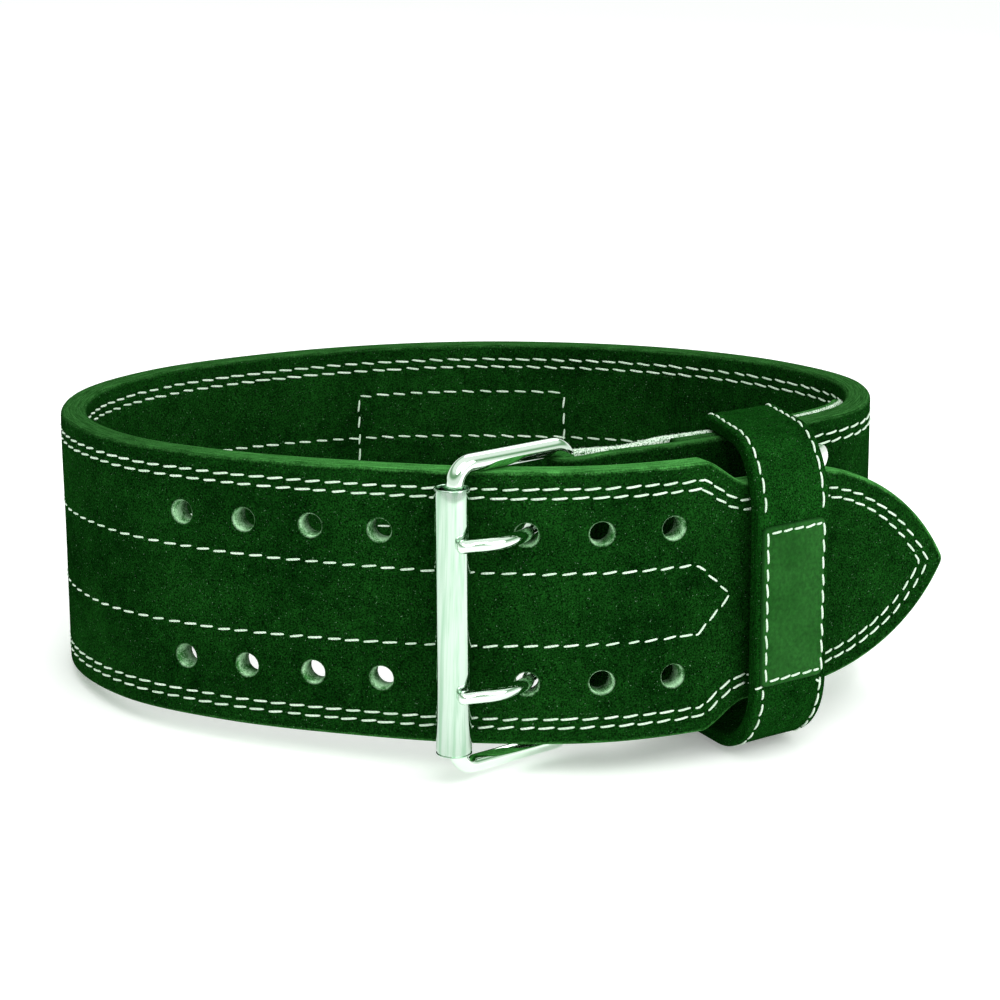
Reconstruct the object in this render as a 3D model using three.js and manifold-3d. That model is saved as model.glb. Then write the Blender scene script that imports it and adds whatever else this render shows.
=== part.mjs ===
// Weightlifting belt, fastened and standing on its lower edge. Millimetres, +Z up, buckle towards -Y.
import * as THREE from "three";
import { mergeVertices } from "three/addons/utils/BufferGeometryUtils.js";
import Module from "manifold-3d";

// Band of leather
const beltWidth = 101.6;
const strapThickness = 10;
const edgeRound = 2;
const loopWidth = 323;
const loopDepth = 256;

// Tongue, measured back from its tip
const neckWidth = 82.5;
const archLength = 64;
const tipWidth = 6;
const shoulderFromTip = 109;
const shoulderLength = 16;

// Punched holes, in pairs
const holeDiameter = 8.4;
const holePitch = 26.1;
const holeRowSpacing = 55.2;
const holesTowardsTip = 2;
const holesAwayFromTip = 5;

// Buckle: a wire ring with a loose roller and two prongs
const wireDiameter = 6.6;
const frameSideClearance = 1.5;
const frameBend = 7.4;
const rollerDiameter = 13;
const rollerWall = 1.3;
const rollerLength = 98;
const rollerSag = 2;
const rollerStandOff = 3;
const rollerSetback = 24.3;
const prongDiameter = 5;
const prongReach = 16.5;
const prongBow = 4.5;
const prongMeetAngle = 46;
const prongTipAngle = 20;
const prongTipRound = 2;
const prongEyeAngle = 290;
const leanShare = 0.7;
const tipShare = 0.87;
const bowPlace = 0.4;
const seatRelief = 0.15;
const runningGap = 0.3;
const notchGap = 0.25;

// Leather folded round the buckle's bar, let into the strap outside and lying on it inside
const foldThickness = 4;
const foldInset = 0;
const coreStart = 47;
const pinchRun = 24;
const pinchGap = 0.5;
const lapLength = 32;
const flapLength = 152;
const slotHeight = 7.4;
const seatGap = 0.3;

// Rivets through the strap and the flap
const rivetCapDiameter = 10.6;
const rivetCapHeight = 2;
const rivetShankDiameter = 4;
const rivetFromEdge = 15;
const rivetDome = 0.94;
const rivetHeadShare = 0.85;
const rivetRuns = [57, 113];

// Keeper loop and the smooth patch sewn on its front
const keeperWidth = 35;
const keeperThickness = 5.2;
const keeperFromTip = 78.5;
const keeperFrontClearance = 4;
const keeperBackClearance = 1.5;
const keeperHeadroom = 3.8;
const keeperSag = 3.5;
const keeperSkew = 17;
const keeperBackLean = 6;
const keeperFrontCorner = 28;
const keeperBackCorner = 8;
const keeperEdgeRound = 1.6;
const patchHeight = 60;
const patchThickness = 1.2;
const patchDrop = 0.2;

// Steps of the meshes
const strapStep = 9;
const archStep = 4.5;
const foldStep = 8;
const wireSides = 12;
const holeSides = 14;
const rollerSides = 32;
const rivetSides = 20;
const bendSteps = 5;
const cornerSteps = 7;
const wrapSteps = 10;
const prongSteps = 44;
const eyeStep = 24;
const reachSteps = 18;
const rivetDomeRings = [1, 0.8, 0.55, 0.28];
const routeDivisions = 1500;
const bisections = 50;

// Search for the stance
const steepestLean = 0.2;
const leanTries = 34;

// Plan of the strap's mid thickness, from the buckle bar round the back to the tip of the tongue,
// as shares of half the width and half the depth of that line.
const route = [
  { across: 0.236, deep: -0.810 },
  { across: 0.500, deep: -0.628 },
  { across: 0.753, deep: -0.402 },
  { across: 0.962, deep: -0.110 },
  { across: 0.990, deep: 0.271 },
  { across: 0.829, deep: 0.606 },
  { across: 0.582, deep: 0.837 },
  { across: 0.292, deep: 0.966 },
  { across: -0.013, deep: 1.000 },
  { across: -0.314, deep: 0.925 },
  { across: -0.592, deep: 0.758 },
  { across: -0.832, deep: 0.516 },
  { across: -0.979, deep: 0.176 },
  { across: -0.974, deep: -0.210 },
  { across: -0.817, deep: -0.542 },
  { across: -0.563, deep: -0.759 },
  { across: -0.275, deep: -0.896 },
  { across: 0.025, deep: -0.983 },
  { across: 0.331, deep: -0.979 },
  { across: 0.615, deep: -0.833 },
  { across: 0.868, deep: -0.611 },
  { across: 1.145, deep: -0.443 },
];

const wasm = await Module();
wasm.setup();

const suede = new THREE.MeshStandardMaterial({ color: 0x0f3d16, roughness: 0.95, metalness: 0 });
const smoothLeather = new THREE.MeshStandardMaterial({ color: 0x2c7a35, roughness: 0.5, metalness: 0 });
const chrome = new THREE.MeshStandardMaterial({ color: 0xd6dad6, roughness: 0.18, metalness: 1 });
const nickel = new THREE.MeshStandardMaterial({ color: 0xf0f0ea, roughness: 0.3, metalness: 0.8 });

const up = new THREE.Vector3(0, 0, 1);
const wireRadius = wireDiameter / 2;
const rollerRadius = rollerDiameter / 2;
const prongRadius = prongDiameter / 2;
const middle = beltWidth / 2;
const keeperMiddle = middle - keeperSag;

const plan = makeRoute();
const planLength = plan.getLength();

function makeRoute() {
  const halfWidth = (loopWidth - strapThickness) / 2;
  const halfDepth = (loopDepth - strapThickness) / 2;
  const points = route.map((r) => new THREE.Vector3(r.across * halfWidth, r.deep * halfDepth, 0));
  const curve = new THREE.CatmullRomCurve3(points, false, "centripetal");
  curve.arcLengthDivisions = routeDivisions;
  return curve;
}

// The place on the strap's mid line a given run from the buckle bar: its point, direction and outward side.
function strapAt(run) {
  const share = THREE.MathUtils.clamp(run / planLength, 0, 1);
  const point = plan.getPointAt(share);
  const along = plan.getTangentAt(share).setZ(0).normalize();
  const out = new THREE.Vector3(along.y, -along.x, 0);
  return { point, along, out };
}

function offsetPoint(run, offset, height = 0) {
  const { point, out } = strapAt(run);
  return point.clone().addScaledVector(out, offset).setZ(height);
}

function bisect(f, low, high) {
  const rising = f(high) > f(low);
  for (let i = 0; i < bisections; i++) {
    const half = (low + high) / 2;
    if (f(half) > 0 === rising) high = half;
    else low = half;
  }
  return (low + high) / 2;
}

// A rectangle with rounded corners, counter-clockwise, as [across, height] pairs.
function roundedSection(low, high, bottom, top, round, steps = 2, lowRound = round) {
  const most = Math.min(high - low, top - bottom) / 2.2;
  const r = Math.min(round, most);
  const q = Math.min(lowRound, most);
  const corners = [
    [high - r, bottom + r, -Math.PI / 2, r],
    [high - r, top - r, 0, r],
    [low + q, top - q, Math.PI / 2, q],
    [low + q, bottom + q, Math.PI, q],
  ];
  return corners.flatMap(([x, y, start, size]) =>
    Array.from({ length: steps + 1 }, (_, i) => {
      const angle = start + (i / steps) * (Math.PI / 2);
      return [x + size * Math.cos(angle), y + size * Math.sin(angle)];
    }),
  );
}

// A solid through rings of points, each counter-clockwise as seen from the next one.
function loft(rings, closed = false) {
  const n = rings[0].length;
  const position = rings.flat().flatMap((p) => [p.x, p.y, p.z]);
  const index = [];
  const last = closed ? rings.length : rings.length - 1;
  for (let i = 0; i < last; i++) {
    const a = i * n;
    const b = ((i + 1) % rings.length) * n;
    for (let j = 0; j < n; j++) {
      const k = (j + 1) % n;
      index.push(a + j, a + k, b + k, a + j, b + k, b + j);
    }
  }
  if (!closed) {
    const end = (rings.length - 1) * n;
    for (let j = 1; j < n - 1; j++) {
      index.push(0, j + 1, j);
      index.push(end, end + j, end + j + 1);
    }
  }
  const geometry = new THREE.BufferGeometry();
  geometry.setAttribute("position", new THREE.Float32BufferAttribute(position, 3));
  geometry.setIndex(index);
  return geometry;
}

// Cuts and joins
function solidOf(geometry) {
  const bare = geometry.clone();
  bare.deleteAttribute("normal");
  bare.deleteAttribute("uv");
  const merged = mergeVertices(bare, 1e-4);
  return new wasm.Manifold(
    new wasm.Mesh({
      numProp: 3,
      vertProperties: new Float32Array(merged.attributes.position.array),
      triVerts: new Uint32Array(merged.index.array),
    }),
  );
}

function geometryOf(solid) {
  const mesh = solid.getMesh();
  const geometry = new THREE.BufferGeometry();
  geometry.setAttribute("position", new THREE.BufferAttribute(new Float32Array(mesh.vertProperties), 3));
  geometry.setIndex(new THREE.BufferAttribute(new Uint32Array(mesh.triVerts), 1));
  return geometry;
}

function cut(geometry, tools) {
  let solid = solidOf(geometry);
  for (const tool of tools) solid = solid.subtract(solidOf(tool));
  return geometryOf(solid);
}

// A round tool or pin whose axis points out of the strap.
function acrossStrap(geometry, run, offset, height) {
  const { along, out } = strapAt(run);
  const basis = new THREE.Matrix4().makeBasis(along, up, out);
  const turned = geometry.clone().applyMatrix4(new THREE.Matrix4().makeRotationX(Math.PI / 2));
  return turned.applyMatrix4(basis.setPosition(offsetPoint(run, offset, height)));
}

function holeTool(run, height, diameter) {
  const length = 2 * (strapThickness + foldThickness);
  const tool = new THREE.CylinderGeometry(diameter / 2, diameter / 2, length, holeSides);
  return acrossStrap(tool, run, 0, height);
}

// Where things lie along the strap
const barPoint = strapAt(0).point;
const frontRun = nearestFrontRun();
const prongHoleRun = frontRun - prongReach;
const rollerRun = prongHoleRun - rollerSetback;
const rollerPoint = offsetPoint(rollerRun, strapThickness / 2 + rollerStandOff + rollerRadius);
const rollerPlay = rollerRadius - rollerWall - wireRadius - 2 * runningGap;
const rodPoint = barPoint.clone().sub(rollerPoint).setLength(rollerPlay).add(rollerPoint);
const lapEnd = coreStart + lapLength;
const heights = [middle + holeRowSpacing / 2, middle - holeRowSpacing / 2];

// The run at the front where the strap passes closest to the buckle bar.
function nearestFrontRun() {
  const early = planLength / 2;
  const ahead = (run) => {
    const { point, along } = strapAt(run);
    return point.clone().sub(barPoint).dot(along);
  };
  return bisect(ahead, early, planLength - shoulderFromTip);
}

function halfWidthAt(fromTip) {
  const neck = neckWidth / 2;
  const rise = neck - tipWidth / 2;
  const radius = (archLength ** 2 + rise ** 2) / (2 * rise);
  if (fromTip < archLength) return neck - radius + Math.sqrt(radius ** 2 - (archLength - fromTip) ** 2);
  const slope = (fromTip - (shoulderFromTip - shoulderLength)) / shoulderLength;
  return THREE.MathUtils.lerp(neck, middle, THREE.MathUtils.clamp(slope, 0, 1));
}

function strapRuns() {
  const tip = planLength;
  const marks = [
    coreStart,
    lapEnd,
    lapEnd + seatGap * 2,
    tip - shoulderFromTip,
    tip - shoulderFromTip + shoulderLength,
    tip - archLength,
    tip,
  ];
  const runs = [];
  for (let i = 0; i < marks.length - 1; i++) {
    const step = marks[i] >= tip - archLength ? archStep : strapStep;
    const count = Math.max(1, Math.round((marks[i + 1] - marks[i]) / step));
    for (let j = 0; j < count; j++) runs.push(THREE.MathUtils.lerp(marks[i], marks[i + 1], j / count));
  }
  return [...runs, tip];
}

function makeStrap() {
  const half = strapThickness / 2;
  const lapFace = half - foldThickness - seatGap;
  const rings = strapRuns().map((run) => {
    const face = run < lapEnd + seatGap ? lapFace : half;
    const tall = halfWidthAt(planLength - run);
    return roundedSection(-half, face, middle - tall, middle + tall, edgeRound)
      .map(([n, z]) => offsetPoint(run, n, z))
      .reverse();
  });
  const tools = [];
  for (let k = -holesTowardsTip; k <= holesAwayFromTip; k++)
    for (const z of heights) tools.push(holeTool(prongHoleRun - k * holePitch, z, holeDiameter));
  for (const run of rivetRuns)
    for (const z of rivetHeights()) tools.push(holeTool(run, z, rivetShankDiameter + 2 * seatGap));
  return cut(loft(rings), tools);
}

function rivetHeights() {
  return [rivetFromEdge, beltWidth - rivetFromEdge];
}

// The folded leather's mid line: outside leg, round the bar, inside leg.
function foldPoints() {
  const half = foldThickness / 2;
  const wrap = wireRadius + runningGap + half;
  const outside = strapThickness / 2 - half;
  const inside = -(strapThickness / 2 + seatGap + half);
  const pinch = half + pinchGap / 2;
  const reach = coreStart - seatGap * 4;
  const leg = (run, side, seat) => {
    if (run < pinchRun) return side * THREE.MathUtils.lerp(wrap, pinch, ease(run / pinchRun));
    const share = ease(THREE.MathUtils.clamp((run - pinchRun) / (reach - pinchRun), 0, 1));
    return THREE.MathUtils.lerp(side * pinch, seat, share);
  };
  const outsideRuns = spread(lapEnd - seatGap, 0, foldStep);
  const insideRuns = spread(0, flapLength, foldStep);
  const { along, out } = strapAt(0);
  const turn = Array.from({ length: wrapSteps - 1 }, (_, i) => {
    const angle = ((i + 1) / wrapSteps) * Math.PI;
    return barPoint
      .clone()
      .addScaledVector(out, wrap * Math.cos(angle))
      .addScaledVector(along, -wrap * Math.sin(angle));
  });
  return [
    ...outsideRuns.map((run) => offsetPoint(run, leg(run, 1, outside))),
    ...turn,
    ...insideRuns.map((run) => offsetPoint(run, leg(run, -1, inside))),
  ];
}

function ease(t) {
  return t * t * (3 - 2 * t);
}

function spread(from, to, step) {
  const count = Math.max(1, Math.round(Math.abs(to - from) / step));
  return Array.from({ length: count + 1 }, (_, i) => THREE.MathUtils.lerp(from, to, i / count));
}

// A strip of leather standing on edge along a line in plan.
function strip(points, thickness, bottom, top, round) {
  const section = roundedSection(-thickness / 2, thickness / 2, bottom, top, round);
  const rings = points.map((p, i) => {
    const before = points[Math.max(0, i - 1)];
    const after = points[Math.min(points.length - 1, i + 1)];
    const along = after.clone().sub(before).normalize();
    const side = new THREE.Vector3(along.y, -along.x, 0);
    return section.map(([n, z]) => p.clone().addScaledVector(side, n).setZ(z)).reverse();
  });
  return loft(rings);
}

function makeFold() {
  const body = strip(foldPoints(), foldThickness, foldInset, beltWidth - foldInset, foldThickness / 3);
  const tools = heights.map((z) => {
    const reach = 2 * (prongDiameter + wireDiameter);
    const slot = new THREE.BoxGeometry(reach, reach, slotHeight);
    const { along } = strapAt(0);
    const turn = new THREE.Matrix4().makeRotationZ(Math.atan2(along.y, along.x));
    return slot.applyMatrix4(turn.setPosition(barPoint.x, barPoint.y, z));
  });
  for (const run of rivetRuns)
    for (const z of rivetHeights()) tools.push(holeTool(run, z, rivetShankDiameter + 2 * seatGap));
  tools.push(makeFrame(wireRadius + notchGap));
  return cut(body, tools);
}

// A rivet from the cap on the outside face to the flat head on the flap.
function makeRivet(run, height) {
  const shank = rivetShankDiameter / 2;
  const cap = rivetCapDiameter / 2;
  const outer = strapThickness / 2 + seatGap;
  const inner = -(strapThickness / 2 + foldThickness + 2 * seatGap);
  const domed = (share) => rivetCapHeight * Math.sqrt(1 - (rivetDome * share) ** 2);
  const dome = rivetDomeRings.map((s) => new THREE.Vector2(cap * s, outer + domed(s)));
  const profile = [
    new THREE.Vector2(0, inner - rivetCapHeight / 2),
    new THREE.Vector2(cap * rivetHeadShare, inner - rivetCapHeight / 2),
    new THREE.Vector2(cap * rivetHeadShare, inner),
    new THREE.Vector2(shank, inner),
    new THREE.Vector2(shank, outer),
    new THREE.Vector2(cap, outer),
    ...dome,
    new THREE.Vector2(0, outer + rivetCapHeight),
  ];
  return acrossStrap(new THREE.LatheGeometry(profile, rivetSides), run, 0, height);
}

// A closed ring of round wire through points in one plane.
function wireRing(points, radius, planeNormal) {
  const n = points.length;
  const rings = points.map((p, i) => {
    const along = points[(i + 1) % n].clone().sub(points[(i + n - 1) % n]).normalize();
    const side = along.clone().cross(planeNormal).normalize();
    return Array.from({ length: wireSides }, (_, j) => {
      const angle = (j / wireSides) * Math.PI * 2;
      return p
        .clone()
        .addScaledVector(side, radius * Math.cos(angle))
        .addScaledVector(planeNormal, -radius * Math.sin(angle));
    });
  });
  return loft(rings, true);
}

function makeFrame(radius = wireRadius) {
  const reach = barPoint.clone().sub(rodPoint).setZ(0);
  const across = reach.clone().normalize();
  const halfHeight = middle + frameSideClearance + wireRadius;
  const centre = middle - (frameSideClearance - runningGap);
  const loop = roundedSection(0, reach.length(), centre - halfHeight, centre + halfHeight, frameBend, bendSteps);
  const points = loop.map(([x, z]) => rodPoint.clone().addScaledVector(across, x).setZ(z));
  const normal = across.clone().cross(up);
  return wireRing(points, radius, normal);
}

function makeRoller() {
  const bore = rollerRadius - rollerWall;
  const lip = rollerWall / 3;
  const half = rollerLength / 2;
  const profile = [
    [bore, -half],
    [rollerRadius - lip, -half],
    [rollerRadius, -half + lip],
    [rollerRadius, half - lip],
    [rollerRadius - lip, half],
    [bore, half],
    [bore, -half],
  ].map(([x, y]) => new THREE.Vector2(x, y));
  const tube = new THREE.LatheGeometry(profile, rollerSides).rotateX(Math.PI / 2);
  return tube.translate(rollerPoint.x, rollerPoint.y, middle - rollerSag);
}

// A prong: an eye round the bar, a shank through its hole, and a tip that lies on the roller.
function prongPath() {
  const eye = wireRadius + runningGap + prongRadius;
  const hole = strapAt(prongHoleRun);
  const lean = (holeDiameter / 2 - prongRadius - runningGap) * leanShare;
  const half = strapThickness / 2;
  const innerMouth = offsetPoint(prongHoleRun, -half).addScaledVector(hole.along, lean);
  const outerMouth = offsetPoint(prongHoleRun, half).addScaledVector(hole.along, -lean);
  const toMouth = innerMouth.clone().sub(barPoint);
  const heading = Math.atan2(toMouth.y, toMouth.x);
  const leave = heading - Math.acos(eye / toMouth.length());
  const around = THREE.MathUtils.degToRad(prongEyeAngle);
  const eyePoints = spread(leave + around, leave, THREE.MathUtils.degToRad(eyeStep)).map((angle) =>
    barPoint.clone().add(new THREE.Vector3(eye * Math.cos(angle), eye * Math.sin(angle), 0)),
  );
  const seat = rollerRadius + runningGap + prongRadius + seatRelief;
  const roller = strapAt(rollerRun);
  const onRoller = (degrees) => {
    const angle = THREE.MathUtils.degToRad(degrees);
    return rollerPoint
      .clone()
      .addScaledVector(roller.out, seat * Math.cos(angle))
      .addScaledVector(roller.along, seat * Math.sin(angle));
  };
  const meet = onRoller(prongMeetAngle);
  const bow = outerMouth.clone().lerp(meet, bowPlace).addScaledVector(roller.out, prongBow);
  return [...eyePoints, innerMouth, outerMouth, bow, meet, onRoller(prongTipAngle)];
}

function makeProng(height) {
  const controls = prongPath();
  const curve = new THREE.CatmullRomCurve3(controls, false, "centripetal");
  const length = curve.getLength();
  const rings = Array.from({ length: prongSteps + 1 }, (_, i) => {
    const share = i / prongSteps;
    const p = curve.getPointAt(share);
    const along = curve.getTangentAt(share).setZ(0).normalize();
    const side = new THREE.Vector3(along.y, -along.x, 0);
    const left = (1 - share) * length;
    const blunt = Math.max(0, 1 - left / prongTipRound) * tipShare;
    const slim = Math.sqrt(1 - blunt ** 2);
    return Array.from({ length: wireSides }, (_, j) => {
      const angle = (j / wireSides) * Math.PI * 2;
      const z = height - prongRadius * slim * Math.sin(angle);
      return p.clone().addScaledVector(side, prongRadius * slim * Math.cos(angle)).setZ(z);
    });
  });
  return loft(rings);
}

// The keeper goes round the tongue, the strap and the flap. Its front lies along the tongue and its
// back along the flap, so it is slightly twisted between the two.
function keeperEnds() {
  const frontRun = planLength - keeperFromTip;
  const front = strapAt(frontRun);
  const facing = (run) => strapAt(run).point.sub(front.point).dot(front.along);
  const backRun = bisect(facing, 0, flapLength) + keeperSkew;
  const back = strapAt(backRun);
  const half = strapThickness / 2;
  const tongueFace = reachOf(front, frontRun, half, 1);
  const flapFace = reachOf(back, backRun, -(half + seatGap + foldThickness), -1);
  const frontOffset = tongueFace + keeperFrontClearance + keeperThickness / 2;
  const backOffset = flapFace - keeperBackClearance - keeperThickness / 2;
  return {
    front: { ...front, point: front.point.clone().addScaledVector(front.out, frontOffset) },
    back: { ...back, point: back.point.clone().addScaledVector(back.out, backOffset) },
  };
}

// How far a face beside the mid line gets, within the keeper's width, out of the place given.
function reachOf(place, run, offset, side) {
  const depths = spread(run - keeperWidth / 2, run + keeperWidth / 2, keeperWidth / reachSteps).map((r) =>
    offsetPoint(r, offset).sub(place.point).dot(place.out),
  );
  return side > 0 ? Math.max(...depths) : Math.min(...depths);
}

function makeKeeper() {
  const { front, back } = keeperEnds();
  const half = keeperThickness / 2;
  const depth = front.point.distanceTo(back.point);
  const tall = middle + keeperHeadroom + half;
  const corners = [keeperFrontCorner - half, keeperBackCorner - half];
  const low = keeperMiddle - tall;
  const high = keeperMiddle + tall;
  const loop = roundedSection(0, depth, low, high, corners[0], cornerSteps, corners[1]);
  const n = loop.length;
  const section = roundedSection(-half, half, -keeperWidth / 2, keeperWidth / 2, keeperEdgeRound);
  const rings = loop.map(([x, z], i) => {
    const [x0, z0] = loop[(i + n - 1) % n];
    const [x1, z1] = loop[(i + 1) % n];
    const size = Math.hypot(x1 - x0, z1 - z0);
    const away = [(z1 - z0) / size, -(x1 - x0) / size];
    const slip = (keeperBackLean * (z - keeperMiddle)) / tall;
    const centre = back.point.clone().addScaledVector(back.along, slip).lerp(front.point, x / depth);
    const along = back.along.clone().lerp(front.along, x / depth).normalize();
    const out = new THREE.Vector3(along.y, -along.x, 0);
    return section.map(([thick, wide]) =>
      centre
        .clone()
        .addScaledVector(out, away[0] * thick)
        .addScaledVector(along, wide)
        .setZ(z + away[1] * thick),
    );
  });
  return loft(rings, true);
}

function makePatch() {
  const { front } = keeperEnds();
  const seat = keeperThickness / 2 + seatGap;
  const wide = keeperWidth - 2 * keeperEdgeRound;
  const box = new THREE.BoxGeometry(wide, patchHeight, patchThickness);
  const basis = new THREE.Matrix4().makeBasis(front.along, up, front.out);
  const place = front.point.clone().addScaledVector(front.out, seat + patchThickness / 2);
  place.setZ(keeperMiddle - patchDrop);
  return box.applyMatrix4(basis.setPosition(place));
}

// The stable stance on a floor: the lean that brings the centre of mass lowest.
function standingLean(geometries) {
  const points = [];
  const mass = new THREE.Vector3();
  let volume = 0;
  for (const g of geometries) {
    const p = g.getAttribute("position");
    const at = (i) => new THREE.Vector3().fromBufferAttribute(p, i);
    for (let i = 0; i < p.count; i++) points.push(at(i));
    const index = g.index ? Array.from(g.index.array) : Array.from({ length: p.count }, (_, i) => i);
    for (let i = 0; i < index.length; i += 3) {
      const [a, b, c] = [at(index[i]), at(index[i + 1]), at(index[i + 2])];
      const v = a.dot(b.clone().cross(c)) / 6;
      volume += v;
      mass.addScaledVector(a.add(b).add(c), v / 4);
    }
  }
  mass.divideScalar(volume);
  const low = points.filter((p) => p.z < middle);
  const height = (x, y) => {
    const drop = low.reduce((least, p) => Math.min(least, p.z - x * p.x - y * p.y), Infinity);
    return mass.z - x * mass.x - y * mass.y - drop;
  };
  const best = (f) => {
    let [a, b] = [-steepestLean, steepestLean];
    for (let i = 0; i < leanTries; i++) {
      const [c, d] = [a + (b - a) / 3, b - (b - a) / 3];
      if (f(c) < f(d)) b = d;
      else a = c;
    }
    return (a + b) / 2;
  };
  const x = best((tryX) => height(tryX, best((y) => height(tryX, y))));
  const y = best((tryY) => height(x, tryY));
  return new THREE.Vector3(-x, -y, 1).normalize();
}

const pieces = [
  ["belt_strap", makeStrap(), suede],
  ["buckle_fold", makeFold(), suede],
  ["keeper_loop", makeKeeper(), suede],
  ["keeper_patch", makePatch(), smoothLeather],
  ["buckle_frame", makeFrame(), chrome],
  ["buckle_roller", makeRoller(), chrome],
  ["prong_upper", makeProng(heights[0]), chrome],
  ["prong_lower", makeProng(heights[1]), chrome],
];
rivetRuns.forEach((run, i) =>
  rivetHeights().forEach((z, j) => {
    pieces.push([`rivet_${i + 1}_${["lower", "upper"][j]}`, makeRivet(run, z), nickel]);
  }),
);

const belt = new THREE.Group();
for (const [name, geometry, material] of pieces) {
  geometry.computeVertexNormals();
  const mesh = new THREE.Mesh(geometry, material);
  mesh.name = name;
  belt.add(mesh);
}
belt.quaternion.setFromUnitVectors(standingLean(pieces.map((p) => p[1])), up);
belt.updateMatrixWorld(true);
const box = new THREE.Box3().setFromObject(belt, true);
const centre = box.getCenter(new THREE.Vector3());
belt.position.set(-centre.x, -centre.y, -box.min.z);

const part = new THREE.Group();
part.add(belt);
export default part;
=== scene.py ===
# Weightlifting belt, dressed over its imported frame. Lengths are in millimetres in the band's own
# frame, where the band stands level, and are leaned and turned into metres at the end.
import math

import bmesh
import bpy
import numpy as np
from mathutils import Matrix, Vector


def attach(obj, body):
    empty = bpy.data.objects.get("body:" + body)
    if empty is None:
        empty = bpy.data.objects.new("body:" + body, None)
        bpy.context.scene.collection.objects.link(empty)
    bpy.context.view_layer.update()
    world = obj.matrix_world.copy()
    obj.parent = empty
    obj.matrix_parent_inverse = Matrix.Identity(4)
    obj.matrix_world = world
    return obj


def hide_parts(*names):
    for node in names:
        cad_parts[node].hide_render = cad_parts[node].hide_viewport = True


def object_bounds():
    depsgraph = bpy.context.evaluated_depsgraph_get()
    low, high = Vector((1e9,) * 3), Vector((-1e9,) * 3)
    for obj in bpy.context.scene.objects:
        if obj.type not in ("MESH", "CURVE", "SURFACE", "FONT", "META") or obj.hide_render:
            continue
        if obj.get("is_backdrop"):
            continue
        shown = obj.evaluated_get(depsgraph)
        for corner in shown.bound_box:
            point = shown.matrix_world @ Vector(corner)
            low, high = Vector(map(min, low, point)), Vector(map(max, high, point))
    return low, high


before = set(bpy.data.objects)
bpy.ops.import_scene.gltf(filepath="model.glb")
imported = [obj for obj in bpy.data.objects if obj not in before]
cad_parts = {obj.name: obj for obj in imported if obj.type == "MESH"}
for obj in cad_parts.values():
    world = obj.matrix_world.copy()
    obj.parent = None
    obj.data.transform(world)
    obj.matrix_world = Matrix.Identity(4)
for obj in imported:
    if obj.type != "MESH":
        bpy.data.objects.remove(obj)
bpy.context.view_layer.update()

chance = np.random.default_rng(7)

# Band of leather
BELT_WIDTH = 101.6
STRAP_THICKNESS = 10.0
EDGE_ROUND = 2.0
LOOP_WIDTH = 323.0
LOOP_DEPTH = 256.0
NECK_WIDTH = 82.5
ARCH_LENGTH = 64.0
TIP_WIDTH = 6.0
NOSE_RADIUS = 4.2
SHOULDER_FROM_TIP = 109.0
SHOULDER_LENGTH = 16.0
HOLE_DIAMETER = 8.4
HOLE_PITCH = 26.1
HOLE_ROW_SPACING = 55.2
HOLE_PLACES = range(-2, 6)

# Buckle
WIRE_DIAMETER = 6.6
FRAME_SIDE_CLEARANCE = 1.5
FRAME_BEND = 7.4
ROLLER_DIAMETER = 13.0
ROLLER_WALL = 1.3
ROLLER_LENGTH = 98.0
ROLLER_SAG = 2.0
ROLLER_STAND_OFF = 3.0
ROLLER_FROM_HOLES = 24.3
PRONG_DIAMETER = 5.0
PRONG_REACH = 16.5
PRONG_BOW = 4.5
PRONG_MEET_ANGLE = 46.0
PRONG_TIP_ANGLE = 20.0
PRONG_EYE_ANGLE = 290.0
LEAN_SHARE = 0.7
BOW_PLACE = 0.4
SEAT_RELIEF = 0.15
RUNNING_GAP = 0.3

# Folded leather
FOLD_THICKNESS = 4.0
CORE_START = 47.0
PINCH_RUN = 24.0
PINCH_GAP = 0.5
LAP_LENGTH = 32.0
FLAP_LENGTH = 152.0
SLOT_HEIGHT = 7.4
SEAT_GAP = 0.3

# Rivets
RIVET_CAP_DIAMETER = 10.6
RIVET_CAP_HEIGHT = 2.0
RIVET_SHANK_DIAMETER = 4.0
RIVET_FROM_EDGE = 15.0
RIVET_DOME = 0.94
RIVET_HEAD_SHARE = 0.85
RIVET_RUNS = (57.0, 113.0)

# Keeper
KEEPER_WIDTH = 35.0
KEEPER_THICKNESS = 5.2
KEEPER_FROM_TIP = 78.5
KEEPER_FRONT_CLEARANCE = 4.0
KEEPER_BACK_CLEARANCE = 1.5
KEEPER_HEADROOM = 3.8
KEEPER_SAG = 3.5
KEEPER_SKEW = 17.0
KEEPER_BACK_LEAN = 6.0
KEEPER_FRONT_CORNER = 28.0
KEEPER_BACK_CORNER = 8.0
KEEPER_EDGE_ROUND = 1.6
PATCH_HEIGHT = 60.0
PATCH_THICKNESS = 1.2
PATCH_DROP = 0.2

# Thread
THREAD = 0.80
STITCH_SHARE = 0.86
STITCH_SLANT = 0.11
EDGE_ROWS = (6.6, 9.9)
GROOVE_DEPTH = 0.28

# Plan of the strap's mid thickness, as shares of half the width and half the depth of that line
ROUTE = [
    (0.236, -0.810), (0.500, -0.628), (0.753, -0.402), (0.962, -0.110), (0.990, 0.271),
    (0.829, 0.606), (0.582, 0.837), (0.292, 0.966), (-0.013, 1.000), (-0.314, 0.925),
    (-0.592, 0.758), (-0.832, 0.516), (-0.979, 0.176), (-0.974, -0.210), (-0.817, -0.542),
    (-0.563, -0.759), (-0.275, -0.896), (0.025, -0.983), (0.331, -0.979), (0.615, -0.833),
    (0.868, -0.611), (1.145, -0.443),
]

HALF = STRAP_THICKNESS / 2
MIDDLE = BELT_WIDTH / 2
WIRE = WIRE_DIAMETER / 2
ROLLER = ROLLER_DIAMETER / 2
PRONG = PRONG_DIAMETER / 2
KEEPER_MIDDLE = MIDDLE - KEEPER_SAG


def lerp(a, b, t):
    return a + (b - a) * t


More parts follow.
